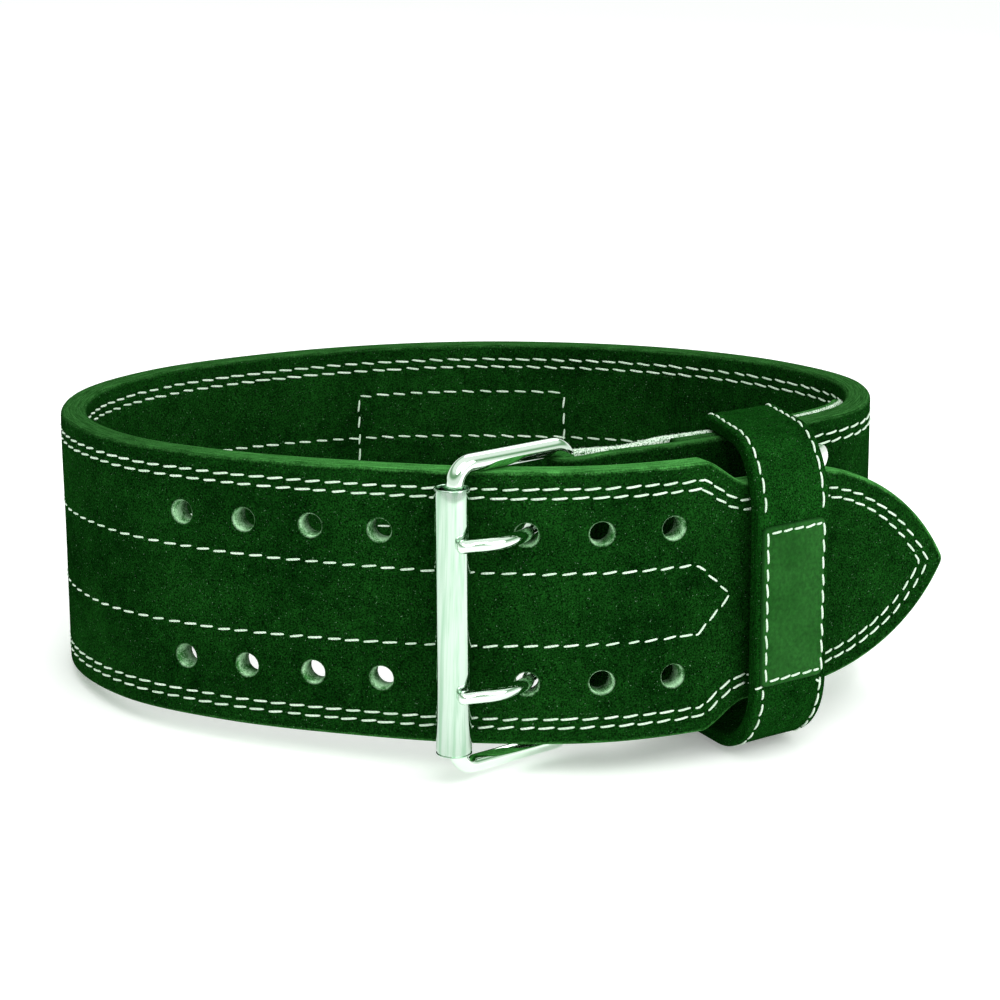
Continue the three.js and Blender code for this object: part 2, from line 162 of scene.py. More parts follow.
def ease(t):
    t = np.clip(t, 0, 1)
    return t * t * (3 - 2 * t)


def unit(v):
    v = np.asarray(v, float)
    return v / np.linalg.norm(v, axis=-1, keepdims=True)


class Line:
    """A smooth line in plan, measured by its run."""

    def __init__(self, points):
        self.points = np.asarray(points, float)
        steps = np.linalg.norm(np.diff(self.points, axis=0), axis=1)
        self.runs = np.concatenate([[0], np.cumsum(steps)])
        self.length = self.runs[-1]
        along = unit(np.gradient(self.points, self.runs, axis=0))
        self.along = along

    def at(self, run):
        run = np.asarray(run, float)
        return np.stack([np.interp(run, self.runs, self.points[:, k]) for k in (0, 1)], -1)

    def heading(self, run):
        run = np.asarray(run, float)
        return unit(np.stack([np.interp(run, self.runs, self.along[:, k]) for k in (0, 1)], -1))

    def out(self, run):
        along = self.heading(run)
        return np.stack([along[..., 1], -along[..., 0]], -1)

    def place(self, run, height, offset):
        flat = self.at(run) + self.out(run) * np.asarray(offset, float)[..., None]
        tall = np.broadcast_to(np.asarray(height, float), flat.shape[:-1])
        return np.concatenate([flat, tall[..., None]], -1)


def spline(points, per_span=200):
    """A centripetal Catmull-Rom line through the points."""
    p = np.asarray(points, float)
    p = np.vstack([2 * p[0] - p[1], p, 2 * p[-1] - p[-2]])
    made = []
    for i in range(1, len(p) - 2):
        a, b, c, d = p[i - 1 : i + 3]
        da, db, dc = (math.sqrt(np.linalg.norm(v)) for v in (b - a, c - b, d - c))
        t1 = ((b - a) / da - (c - a) / (da + db) + (c - b) / db) * db
        t2 = ((c - b) / db - (d - b) / (db + dc) + (d - c) / dc) * db
        t = np.linspace(0, 1, per_span, endpoint=False)[:, None]
        made.append(b + t1 * t + (3 * (c - b) - 2 * t1 - t2) * t**2 + (2 * (b - c) + t1 + t2) * t**3)
    made.append(p[-2][None])
    return np.vstack(made)


def bisect(f, low, high):
    rising = f(high) > f(low)
    for _ in range(50):
        half = (low + high) / 2
        if (f(half) > 0) == rising:
            high = half
        else:
            low = half
    return (low + high) / 2


half_size = np.array([(LOOP_WIDTH - STRAP_THICKNESS) / 2, (LOOP_DEPTH - STRAP_THICKNESS) / 2])
strap = Line(spline(np.array(ROUTE) * half_size))
TIP = strap.length
bar = strap.at(0)
front_run = bisect(
    lambda r: float((strap.at(r) - bar) @ strap.heading(r)), TIP / 2, TIP - SHOULDER_FROM_TIP
)
PRONG_HOLES = front_run - PRONG_REACH
roller_run = PRONG_HOLES - ROLLER_FROM_HOLES
roller_point = strap.place(roller_run, 0, HALF + ROLLER_STAND_OFF + ROLLER)[:2]
rod_point = roller_point + unit(bar - roller_point) * (
    ROLLER - ROLLER_WALL - WIRE - 2 * RUNNING_GAP
)
LAP_END = CORE_START + LAP_LENGTH
HOLE_HEIGHTS = (MIDDLE + HOLE_ROW_SPACING / 2, MIDDLE - HOLE_ROW_SPACING / 2)


LEFT_SIDE = strap.runs[np.argmin(strap.points[:, 0])]
BACK = strap.runs[np.argmax(strap.points[:, 1])]


def pitch_at(run):
    """The stitches lie closer together towards the tongue."""
    return np.interp(run, [BACK, LEFT_SIDE + 60, PRONG_HOLES, TIP - 120, TIP - 70], [7.9, 7.4, 7.1, 6.9, 6.0])


def middle_row(run):
    """How far the two middle rows lie from the middle of the band."""
    marks = [0, BACK, LEFT_SIDE, LEFT_SIDE + 60, PRONG_HOLES, TIP - SHOULDER_FROM_TIP]
    return np.interp(run, marks, [9.6, 9.6, 15.0, 15.4, 13.4, 12.9])


def stance():
    """The turn and shift from the band's own frame to the part's frame, from where the roller stands."""
    corners = np.array([v.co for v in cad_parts["buckle_roller"].data.vertices]) * 1000
    middle = (corners.max(0) + corners.min(0)) / 2
    axis = np.linalg.svd(corners - corners.mean(0), full_matrices=False)[2][0]
    axis = axis * np.sign(axis[2])
    turn = np.array(Vector((0, 0, 1)).rotation_difference(Vector(axis)).to_matrix())
    start = np.array([*roller_point, MIDDLE - ROLLER_SAG])
    return turn, middle - turn @ start


turn, shift = stance()
LEANING = Matrix.Translation(Vector(shift / 1000)) @ Matrix(turn.tolist()).to_4x4()


def to_part(points):
    return (np.asarray(points, float) @ turn.T + shift) / 1000


# Meshes
def add_mesh(name, points, faces, marks=None, sharp=None, weld=True):
    mesh = bpy.data.meshes.new(name)
    mesh.from_pydata(to_part(points).tolist(), [], [tuple(map(int, f)) for f in faces])
    for key, values in (marks or {}).items():
        layer = mesh.attributes.new(key, "FLOAT", "POINT")
        layer.data.foreach_set("value", np.asarray(values, np.float32))
    built = bmesh.new()
    built.from_mesh(mesh)
    if weld:
        bmesh.ops.remove_doubles(built, verts=built.verts, dist=2e-6)
    bmesh.ops.recalc_face_normals(built, faces=built.faces)
    built.to_mesh(mesh)
    built.free()
    mesh.shade_smooth()
    if sharp:
        mesh.set_sharp_from_angle(angle=math.radians(sharp))
    piece = bpy.data.objects.new(name, mesh)
    bpy.context.scene.collection.objects.link(piece)
    return piece


def dress(piece, material, slot, *nodes):
    piece.data.materials.append(material)
    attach(piece, "root")
    if nodes:
        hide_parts(*nodes)
    return piece


class Skin:
    """Points of one surface in (run, height, offset), with their distance from an edge and from a hole."""

    def __init__(self):
        self.rows = []
        self.count = 0
        self.faces = []

    def add(self, run, height, offset, edge, hole):
        parts = np.broadcast_arrays(*(np.asarray(v, float) for v in (run, height, offset, edge, hole)))
        block = np.stack([p.ravel() for p in parts], -1)
        first = self.count
        self.rows.append(block)
        self.count += len(block)
        return np.arange(first, self.count).reshape(parts[0].shape)

    def bridge(self, a, b, closed=True):
        n = len(a)
        for k in range(n if closed else n - 1):
            m = (k + 1) % n
            self.faces.append((a[k], a[m], b[m], b[k]))

    def object(self, name, place, sharp=None):
        rows = np.vstack(self.rows)
        run, height, offset, edge, hole = rows.T
        marks = {"run": run, "rise": height, "depth": offset, "edge": edge, "hole": hole}
        return add_mesh(name, place(run, height, offset), self.faces, marks, sharp)


def half_section(stations, top, bottom, rounding, rim=(), steps=6):
    """Half a band's section from the middle of its outer face over one edge to the middle of its
    inner face, as (distance from the edge, offset). rim holds (share of the thickness, inset)."""
    turnings = [math.pi / 2 * k / steps for k in range(steps + 1)]
    corner = [(rounding * (1 - math.cos(a)), rounding * math.sin(a)) for a in turnings]
    face = [d for d in stations if d > rounding + 1e-6]
    made = [(d, top) for d in face]
    made += [(d, top - rounding + rise) for d, rise in reversed(corner)]
    made += [(inset, lerp(top - rounding, bottom + rounding, share)) for share, inset in rim]
    made += [(d, bottom + rounding - rise) for d, rise in corner]
    made += [(d, bottom) for d in reversed(face)]
    return np.array(made)


def fill(marks, step):
    """Evenly filled stations between the marks."""
    made = []
    for a, b in zip(marks[:-1], marks[1:]):
        count = max(1, math.ceil(abs(b - a) / step - 1e-6))
        made += list(np.linspace(a, b, count, endpoint=False))
    return made + [marks[-1]]


def ripple(run, height, size, seed):
    """A soft unevenness of the surface."""
    dice = np.random.default_rng(seed)
    made = 0
    for _ in range(7):
        fx, fy, phase = dice.uniform(0.4, 1.6), dice.uniform(0.4, 1.6), dice.uniform(0, 6.28)
        made = made + np.sin(run / size * fx + height / size * fy * dice.choice([-1, 1]) + phase)
    return made / 7


# The band
def outline(share):
    """The tongue's arch from the neck to the tip: how far along, how far from the middle."""
    neck = NECK_WIDTH / 2
    rise = neck - TIP_WIDTH / 2
    radius = (ARCH_LENGTH**2 + rise**2) / (2 * rise)
    deep = neck - radius
    nose = math.sqrt((radius - NOSE_RADIUS) ** 2 - deep**2)
    reach = nose + NOSE_RADIUS
    meet = math.atan2(nose, -deep)
    arc = radius * meet
    bend = NOSE_RADIUS * (math.pi / 2 - meet)
    s = share * (arc + bend)
    a = np.minimum(s, arc) / radius
    b = np.maximum(s - arc, 0) / NOSE_RADIUS + meet
    x = np.where(s <= arc, radius * np.sin(a), nose + NOSE_RADIUS * np.sin(b))
    y = np.where(s <= arc, deep + radius * np.cos(a), NOSE_RADIUS * np.cos(b))
    return TIP - ARCH_LENGTH + x * ARCH_LENGTH / reach, y


def band_lines():
    """The lines across the band: edge point and foot on the middle, for its upper half."""
    patch = [
        PRONG_HOLES - k * HOLE_PITCH + side * PATCH_HALF for k in reversed(HOLE_PLACES) for side in (-1, 1)
    ]
    shoulder = TIP - SHOULDER_FROM_TIP
    marks = [CORE_START, LAP_END, LAP_END + 2 * SEAT_GAP, *patch, shoulder - 2]
    runs = []
    for a, b in zip(marks[:-1], marks[1:]):
        step = 1.4 if abs(b - a - 2 * PATCH_HALF) < 0.01 else 3.0
        count = max(1, round((b - a) / step))
        runs += list(np.linspace(a, b, count, endpoint=False))
    runs += list(np.arange(shoulder - 2, TIP - ARCH_LENGTH - 0.5, 1.6))
    runs = np.array(runs)
    slope = (runs - shoulder) / SHOULDER_LENGTH
    soft = np.clip(slope, 0, 1) * 0.55 + ease(slope) * 0.45
    tall = lerp(MIDDLE, NECK_WIDTH / 2, soft)
    body = np.stack([runs, tall, runs, np.zeros_like(runs)], -1)
    share = np.linspace(0, 1, 62)
    x, y = outline(share)
    foot = lerp(TIP - ARCH_LENGTH, TIP - 8.0, share**1.55)
    arch = np.stack([x, y, foot, np.zeros_like(x)], -1)
    return np.vstack([body, arch])


PATCH_HALF = 7.0
GROOVE = (-0.8, -0.4, 0, 0.4, 0.8)


def band_stations():
    near = MIDDLE - HOLE_ROW_SPACING / 2 - PATCH_HALF
    far = near + 2 * PATCH_HALF
    grooves = [[row + g for g in GROOVE] for row in EDGE_ROWS]
    made = [2.6, 4.2, *grooves[0], 8.2, *grooves[1], 12.4, 14.3]
    made += list(np.linspace(near, far, 11))
    made += [31.6, 33.0, 34.4, 35.8, 37.2, 38.6, 40.0, 41.4, 42.8, 44.4, 46.5, 48.6, MIDDLE]
    return sorted(made, reverse=True)


def make_band():
    lines = band_lines()
    section = half_section(
        band_stations(), HALF, -HALF, EDGE_ROUND,
        rim=[(0.2, 0.0), (0.27, 0.16), (0.34, 0.02), (0.5, 0.0), (0.62, 0.03), (0.69, 0.18), (0.76, 0.0)],
    )
    d, n = section.T
    edge_point, foot = lines[:, :2], lines[:, 2:]
    reach = np.linalg.norm(edge_point - foot, axis=1)
    inward = (foot - edge_point) / reach[:, None]
    tangent = unit(np.gradient(edge_point, axis=0))
    square = np.clip(np.abs(inward[:, 0] * tangent[:, 1] - inward[:, 1] * tangent[:, 0]), 0.6, 1)
    kept = np.minimum(11.5, 0.6 * reach)
    depth = d[None, :] / square[:, None]
    rest = (d[None, :] - kept[:, None]) / (MIDDLE - kept[:, None])
    t = np.where(
        d[None, :] <= kept[:, None],
        depth,
        kept[:, None] / square[:, None] + rest * (reach - kept / square)[:, None],
    )
    t = np.minimum(t, reach[:, None])
    x = edge_point[:, :1] + inward[:, :1] * t
    y = edge_point[:, 1:] + inward[:, 1:] * t
    faces_out = n[None, :] > 0
    lap = np.where(edge_point[:, 0] < LAP_END + SEAT_GAP, 0.57, 1.0)[:, None]
    offset = -HALF + (n[None, :] + HALF) * lap
    # Grooves under the stitches, and a soft unevenness
    flat = d[None, :] > EDGE_ROUND + 0.01
    fades = ease((TIP - 14 - edge_point[:, 0]) / 20)[:, None]
    drop = np.zeros_like(t)
    for row in EDGE_ROWS:
        away = np.abs(d[None, :] - row) / 0.8
        drop = drop + GROOVE_DEPTH * np.clip(1 - away**2, 0, 1) * fades
    calm = ease((d[None, :] - EDGE_ROUND) / 4)
    sides = {}
    skin = Skin()
    grids = []
    for sign in (1, -1):
        z = MIDDLE + sign * y
        wave_out = 0.16 * ripple(x, z, 13, 3) * calm
        wave_in = 0.16 * ripple(x, z, 15, 4) * calm
        o = np.where(
            faces_out, offset - (drop - wave_out) * flat, offset + (drop - wave_in) * flat
        )
        sides[sign] = (x, z, o)
    k = len(d)
    upper = sides[1]
    lower = [v[:, ::-1][:, 1:-1] for v in sides[-1]]
    x, z, o = (np.hstack([u, w]) for u, w in zip(upper, lower))
    edge = np.hstack([np.tile(d, (len(lines), 1)), np.tile(d[::-1][1:-1], (len(lines), 1))])
    grid = skin.add(x, z, o, edge, 0)
    columns = grid.shape[1]
    keep = np.ones((len(lines) - 1, columns), bool)
    near = MIDDLE - HOLE_ROW_SPACING / 2 - PATCH_HALF
    far = near + 2 * PATCH_HALF
    outer = [int(np.argmin(np.where(n > 0, np.abs(d - v), 99))) for v in (far, near)]
    inner = [int(np.argmin(np.where(n < 0, np.abs(d - v), 99))) for v in (far, near)]
    mirror = lambda c: k + (k - 2 - c)
    for place in HOLE_PLACES:
        middle_run = PRONG_HOLES - place * HOLE_PITCH
        i1 = int(np.argmin(np.abs(lines[:, 0] - (middle_run - PATCH_HALF))))
        i2 = int(np.argmin(np.abs(lines[:, 0] - (middle_run + PATCH_HALF))))
        for sign in (1, -1):
            loops = []
            for a, b in (outer, inner):
                if sign < 0:
                    a, b = mirror(b), mirror(a)
                    low, high = (a, b) if z[i1, a] < z[i1, b] else (b, a)
                else:
                    low, high = (a, b) if z[i1, a] < z[i1, b] else (b, a)
                first, last = min(low, high), max(low, high)
                keep[i1:i2, first:last] = False
                step = 1 if high > low else -1
                around = [(i, low) for i in range(i1, i2)]
                around += [(i2, c) for c in range(low, high, step)]
                around += [(i, high) for i in range(i2, i1, -1)]
                around += [(i1, c) for c in range(high, low, -step)]
                loops.append(around)
            punch(skin, grid, loops, x, z, middle_run, MIDDLE + sign * HOLE_ROW_SPACING / 2)
    for i in range(len(lines) - 1):
        for c in range(columns):
            if keep[i, c]:
                e = (c + 1) % columns
                skin.faces.append((grid[i, c], grid[i + 1, c], grid[i + 1, e], grid[i, e]))
    close_start(skin, grid[0], k)
    return skin.object("strap_leather", strap.place)


def close_start(skin, ring, k):
    """Closes the band's hidden end between the outer and the inner face."""
    upper, lower = list(ring[:k]), [ring[0], *reversed(ring[k:]), ring[k - 1]]
    for side in (upper, lower):
        count = len(side)
        for a in range(count // 2 - 1):
            skin.faces.append((side[a], side[a + 1], side[count - 2 - a], side[count - 1 - a]))


def punch(skin, grid, loops, x, z, run, height):
    """A punched hole: soft rims on both faces and a wall between them."""
    count = len(loops[0])
    per_side = count // 4
    angles = np.array([-0.75 * math.pi + 0.5 * math.pi * j / per_side for j in range(count)])
    cos, sin = np.cos(angles), np.sin(angles)
    radius = HOLE_DIAMETER / 2
    rims = []
    for around, side in zip(loops, (1, -1)):
        border = np.array([grid[i, c] for i, c in around])
        bx = np.array([x[i, c] for i, c in around])
        bz = np.array([z[i, c] for i, c in around])
        wave = 0.16 * ripple(bx, bz, 13 if side > 0 else 15, 3 if side > 0 else 4)
        level = side * HALF + wave
        previous = border
        for t in (0.3, 0.6, 0.82):
            rx = lerp(bx, run + (radius + 1.3) * cos, t)
            rz = lerp(bz, height + (radius + 1.3) * sin, t)
            ring = skin.add(rx, rz, level, 20, (t - 0.3) * 0.1)
            skin.bridge(previous, ring)
            previous = ring
        for beyond, sink, wear in (
            (1.3, 0.02, 0.1), (0.9, 0.1, 0.2), (0.55, 0.24, 0.35), (0.28, 0.46, 0.55),
            (0.1, 0.8, 0.8), (0.0, 1.25, 1.0),
        ):
            rx, rz = run + (radius + beyond) * cos, height + (radius + beyond) * sin
            ring = skin.add(rx, rz, level - side * sink, 20, wear)
            skin.bridge(previous, ring)
            previous = ring
        rims.append(previous)
    previous = rims[0]
    for share in (0.2, 0.4, 0.6, 0.8):
        swell = 0.10 * math.sin(share * 9)
        depth = lerp(HALF - 1.25, -HALF + 1.25, share)
        ring = skin.add(
            run + (radius + swell) * cos, height + (radius + swell) * sin, depth, 20, 1.0
        )
        skin.bridge(previous, ring)
        previous = ring
    skin.bridge(previous, rims[1])


# The folded leather
def fold_line():
    half = FOLD_THICKNESS / 2
    wrap = WIRE + RUNNING_GAP + half
    outside = HALF - half
    inside = -(HALF + SEAT_GAP + half)
    pinch = half + PINCH_GAP / 2
    reach = CORE_START - SEAT_GAP * 4

    def leg(run, side, seat):
        near = side * lerp(wrap, pinch, ease(run / PINCH_RUN))
        far = lerp(side * pinch, seat, ease((run - PINCH_RUN) / (reach - PINCH_RUN)))
        return np.where(run < PINCH_RUN, near, far)

    outside_runs = np.linspace(LAP_END - SEAT_GAP, 0, 60)
    inside_runs = np.linspace(0, FLAP_LENGTH, 110)
    angles = np.linspace(0, math.pi, 26)[1:-1]
    out, along = strap.out(0.0), strap.heading(0.0)
    turned = bar + wrap * (np.cos(angles)[:, None] * out - np.sin(angles)[:, None] * along)
    first = strap.place(outside_runs, 0, leg(outside_runs, 1, outside))[:, :2]
    last = strap.place(inside_runs, 0, leg(inside_runs, -1, inside))[:, :2]
    return Line(np.vstack([first, turned, last])), len(first) + len(angles) // 2


fold, fold_turn = fold_line()
FOLD_BAR = fold.runs[fold_turn]


def sheet(line, runs, stations, half, rounding, end_round, rim=(), windows=(), waves=0.0, seed=9):
    """A strip of leather on edge along a line, its ends rounded, with windows cut for the prongs."""
    section = half_section(stations, half, -half, rounding, rim, steps=4)
    d, n = section.T
    k = len(d)
    upper_z = MIDDLE + (MIDDLE - d)
    lower_z = (MIDDLE - (MIDDLE - d))[::-1][1:-1]
    z = np.concatenate([upper_z, lower_z])
    o = np.concatenate([n, n[::-1][1:-1]])
    e = np.concatenate([d, d[::-1][1:-1]])
    from_end = np.minimum(runs - runs[0], runs[-1] - runs)
    t = np.clip(from_end / end_round, 0, 1)
    slim = (half - end_round + end_round * np.sqrt(1 - (1 - t) ** 2)) / half
    x, z = np.meshgrid(runs, z, indexing="ij")
    o = slim[:, None] * o[None, :]
    e = np.minimum(np.tile(e, (len(runs), 1)), from_end[:, None])
    if waves:
        o = o + waves * ripple(x, z, 9, seed) * ease((e - 1) / 3)
    skin = Skin()
    grid = skin.add(x, z, o, e, 0)
    keep = np.ones((len(runs) - 1, grid.shape[1]), bool)
    for start, end, low, high in windows:
        i1, i2 = (int(np.argmin(np.abs(runs - v))) for v in (start, end))
        outer = np.concatenate([n, n[::-1][1:-1]]) >= half - 1e-6
        inner = np.concatenate([n, n[::-1][1:-1]]) <= -half + 1e-6
        cells = []
        for side in (outer, inner):
            c_low, c_high = (int(np.argmin(np.where(side, np.abs(z[0] - v), 999))) for v in (low, high))
            a, b = min(c_low, c_high), max(c_low, c_high)
            keep[i1:i2, a:b] = False
            cells.append((c_low, c_high))
        loops = []
        for low_c, high_c in cells:
            step = 1 if high_c > low_c else -1
            around = [grid[i, low_c] for i in range(i1, i2)]
            around += [grid[i2, c] for c in range(low_c, high_c, step)]
            around += [grid[i, high_c] for i in range(i2, i1, -1)]
            around += [grid[i1, c] for c in range(high_c, low_c, -step)]
            loops.append(around)
        skin.bridge(*loops)
    columns = grid.shape[1]
    for i in range(len(runs) - 1):
        for c in range(columns):
            if keep[i, c]:
                m = (c + 1) % columns
                skin.faces.append((grid[i, c], grid[i + 1, c], grid[i + 1, m], grid[i, m]))
    for ring in (grid[0], grid[-1]):
        close_start(skin, ring, k)
    return skin


def make_fold():
    reach = 2 * (PRONG_DIAMETER + WIRE_DIAMETER) / 2
    start, end = FOLD_BAR - reach - 3.2, FOLD_BAR + reach + 3.2
    runs = np.array(
        [0, 0.12, 0.4, 0.8, *fill([1.2, start], 2.2), *fill([start, end], 1.1)[1:],
         *fill([end, fold.length - 1.2], 2.2)[1:], fold.length - 0.8, fold.length - 0.4,
         fold.length - 0.12, fold.length]
    )
    slots = [(MIDDLE + s * HOLE_ROW_SPACING / 2 - SLOT_HEIGHT / 2,
              MIDDLE + s * HOLE_ROW_SPACING / 2 + SLOT_HEIGHT / 2) for s in (1, -1)]
    near = MIDDLE - HOLE_ROW_SPACING / 2 - SLOT_HEIGHT / 2
    stations = [2.0, 3.2, *fill([5, near], 3.0), *fill([near, near + SLOT_HEIGHT], 1.9)[1:],
                *fill([near + SLOT_HEIGHT, MIDDLE], 3.0)[1:]]
    skin = sheet(
        fold, runs, sorted(stations, reverse=True), FOLD_THICKNESS / 2, 0.9, 1.2,
        rim=[(0.3, 0.12), (0.5, 0.0), (0.72, 0.14)],
        windows=[(start, end, low, high) for low, high in slots], waves=0.12,
    )
    return skin.object("fold_leather", fold.place)


# The keeper
def rounded_rectangle(low, high, bottom, top, near_round, far_round, steps):
    most = min(high - low, top - bottom) / 2.2
    r, q = min(near_round, most), min(far_round, most)
    made = []
    for cx, cz, start, size in (
        (high - r, bottom + r, -90, r), (high - r, top - r, 0, r),
        (low + q, top - q, 90, q), (low + q, bottom + q, 180, q),
    ):
        for k in range(steps + 1):
            a = math.radians(start + 90 * k / steps)
            made.append((cx + size * math.cos(a), cz + size * math.sin(a)))
    return np.array(made)


def reach_of(run0, run, offset, side):
    runs = np.linspace(run - KEEPER_WIDTH / 2, run + KEEPER_WIDTH / 2, 19)
    flat = strap.place(runs, 0, np.full_like(runs, offset))[:, :2]
    depths = (flat - strap.at(run0)) @ strap.out(run0)
    return depths.max() if side > 0 else depths.min()


class Keeper:
    """The keeper's mid line: a closed loop from the middle of its front, up and round the back."""

    def __init__(self):
        front_at = TIP - KEEPER_FROM_TIP
        front, along = strap.at(front_at), strap.heading(front_at)
        back_at = bisect(lambda r: float((strap.at(r) - front) @ along), 0, FLAP_LENGTH) + KEEPER_SKEW
        half = KEEPER_THICKNESS / 2
        tongue = reach_of(front_at, front_at, HALF, 1)
        flap = reach_of(back_at, back_at, -(HALF + SEAT_GAP + FOLD_THICKNESS), -1)
        self.front = front + strap.out(front_at) * (tongue + KEEPER_FRONT_CLEARANCE + half)
        self.back = strap.at(back_at) + strap.out(back_at) * (flap - KEEPER_BACK_CLEARANCE - half)
        self.front_along, self.back_along = along, strap.heading(back_at)
        deep = float(np.linalg.norm(self.front - self.back))
        tall = MIDDLE + KEEPER_HEADROOM + half
        ring = rounded_rectangle(
            0, deep, KEEPER_MIDDLE - tall, KEEPER_MIDDLE + tall,
            KEEPER_FRONT_CORNER - half, KEEPER_BACK_CORNER - half, 24,
        )
        start = np.array([[deep, KEEPER_MIDDLE]])
        ring = np.vstack([start, ring[25:], ring[:25], start])
        dense = []
        for a, b in zip(ring[:-1], ring[1:]):
            count = max(1, math.ceil(np.linalg.norm(b - a) / 1.5))
            dense.append(lerp(a, b, np.linspace(0, 1, count, endpoint=False)[:, None]))
        ring = np.vstack([*dense, start])
        self.deep, self.tall = deep, tall
        self.ring = ring
        steps = np.linalg.norm(np.diff(ring, axis=0), axis=1)
        self.runs = np.concatenate([[0], np.cumsum(steps)])
        self.length = self.runs[-1]
        inner = np.gradient(np.vstack([ring[-2], ring, ring[1]]), axis=0)[1:-1]
        size = np.linalg.norm(inner, axis=1)
        self.away = np.stack([inner[:, 1], -inner[:, 0]], -1) / size[:, None]

    def place(self, run, wide, offset):
        run = np.mod(np.asarray(run, float), self.length)
        x, z, ax, az = (
            np.interp(run, self.runs, v)
            for v in (self.ring[:, 0], self.ring[:, 1], self.away[:, 0], self.away[:, 1])
        )
        share = (x / self.deep)[..., None]
        slip = (KEEPER_BACK_LEAN * (z - KEEPER_MIDDLE) / self.tall)[..., None]
        centre = lerp(self.back + self.back_along * slip, self.front, share)
        along = unit(lerp(self.back_along, self.front_along, share))
        out = np.stack([along[..., 1], -along[..., 0]], -1)
        offset = np.asarray(offset, float)
        flat = centre + out * (ax * offset)[..., None] + along * np.asarray(wide, float)[..., None]
        return np.concatenate([flat, (z + az * offset)[..., None]], -1)


keeper = Keeper()


def make_keeper():
    half, side = KEEPER_THICKNESS / 2, KEEPER_WIDTH / 2
    rows = [3.4 + g for g in GROOVE]
    stations = sorted([2.1, *rows, 5.6, 8, 11, 14, side], reverse=True)
    d, n = half_section(
        stations, half, -half, KEEPER_EDGE_ROUND, rim=[(0.3, 0.1), (0.55, 0.0), (0.75, 0.12)], steps=5
    ).T
    drop = 0.22 * np.clip(1 - ((d - 3.4) / 0.8) ** 2, 0, 1) * (n > 0)
    n = n - drop
    wide = np.concatenate([side - d, -(side - d)[::-1][1:-1]])
    offset = np.concatenate([n, n[::-1][1:-1]])
    edge = np.concatenate([d, d[::-1][1:-1]])
    runs = np.linspace(0, keeper.length, 190, endpoint=False)
    x, w = np.meshgrid(runs, wide, indexing="ij")
    wave = 0.16 * ripple(x, w, 11, 21) * ease((edge[None, :] - 1.6) / 4)
    skin = Skin()
    grid = skin.add(x, w, offset[None, :] + wave, edge[None, :], 0)
    lines, columns = grid.shape
    for i in range(lines):
        a, b = grid[i], grid[(i + 1) % lines]
        skin.bridge(a, b)
    return skin.object("keeper_leather", keeper.place)


def patch_place(wide, high, offset):
    seat = KEEPER_THICKNESS / 2 + SEAT_GAP * 0.4
    out = np.array([keeper.front_along[1], -keeper.front_along[0]])
    wide, high, offset = (np.asarray(v, float) for v in (wide, high, offset))
    flat = (
        keeper.front
        + out * (seat + PATCH_THICKNESS / 2 + offset)[..., None]
        + keeper.front_along * wide[..., None]
    )
    tall = np.broadcast_to(KEEPER_MIDDLE - PATCH_DROP + high, flat.shape[:-1])
    return np.concatenate([flat, tall[..., None]], -1)


PATCH_WIDE = KEEPER_WIDTH - 2 * KEEPER_EDGE_ROUND
PATCH_ROW = 2.2
PATCH_SHORT = 2.0


def make_patch():
    half, side, top = PATCH_THICKNESS / 2, PATCH_WIDE / 2, PATCH_HEIGHT / 2
    count = 44
    skin = Skin()
    across = np.linspace(-1, 1, count)
    bend = lambda t: np.sign(t) * np.abs(t) ** 0.7
    corner = 2.2
    loops = []
    levels = [
        (0, -half), (0, half - 0.5), (0.08, half - 0.25), (0.28, half - 0.08), (0.6, half), (1.2, half + 0.02),
        (PATCH_ROW - 0.6, half), (PATCH_ROW, half - 0.16), (PATCH_ROW + 0.6, half), (5, half + 0.06),
        (9, half + 0.12), (13, half + 0.14),
    ]
    for inset, level in levels:
        ring = rounded_rectangle(
            -side + inset, side - PATCH_SHORT - inset, -top + inset, top - inset,
            max(corner - inset, 0.3), max(corner - inset, 0.3), 6,
        )
        lines = Line(np.vstack([ring, ring[:1]]))
        spots = lines.at(np.linspace(0, lines.length, 160, endpoint=False))
        uneven = 0.05 * ripple(spots[:, 0], spots[:, 1], 7, 5) * (inset > 0.5)
        loops.append(skin.add(spots[:, 0], spots[:, 1], level + uneven, inset, 0))
    for a, b in zip(loops[:-1], loops[1:]):
        skin.bridge(a, b)
    for loop in (loops[0], loops[-1]):
        centre = skin.add([0.0], [0.0], [-half if loop is loops[0] else half + 0.14], 15, 0)[0]
        for k in range(len(loop)):
            skin.faces.append((loop[k], loop[(k + 1) % len(loop)], centre))
    return skin.object("keeper_front_patch", patch_place, sharp=60)


# Round metal
def sweep(points, radii, sides, normals, closed=False):
    """A round tube along points in space."""
    points = np.asarray(points, float)
    if closed:
        along = unit(np.roll(points, -1, 0) - np.roll(points, 1, 0))
    else:
        along = unit(np.gradient(points, axis=0))
    side = unit(np.cross(along, normals))
    third = unit(np.cross(side, along))
    a = np.linspace(0, 2 * math.pi, sides, endpoint=False)
    ring = side[:, None] * np.cos(a)[None, :, None] + third[:, None] * np.sin(a)[None, :, None]
    verts = points[:, None] + ring * np.asarray(radii, float)[:, None, None]
    lines = len(points)
    faces = []
    for i in range(lines if closed else lines - 1):
        j = (i + 1) % lines
        for k in range(sides):
            m = (k + 1) % sides
            faces.append((i * sides + k, i * sides + m, j * sides + m, j * sides + k))
    if not closed:
        faces.append(tuple(range(sides)))
        faces.append(tuple((lines - 1) * sides + k for k in reversed(range(sides))))
    return verts.reshape(-1, 3), faces


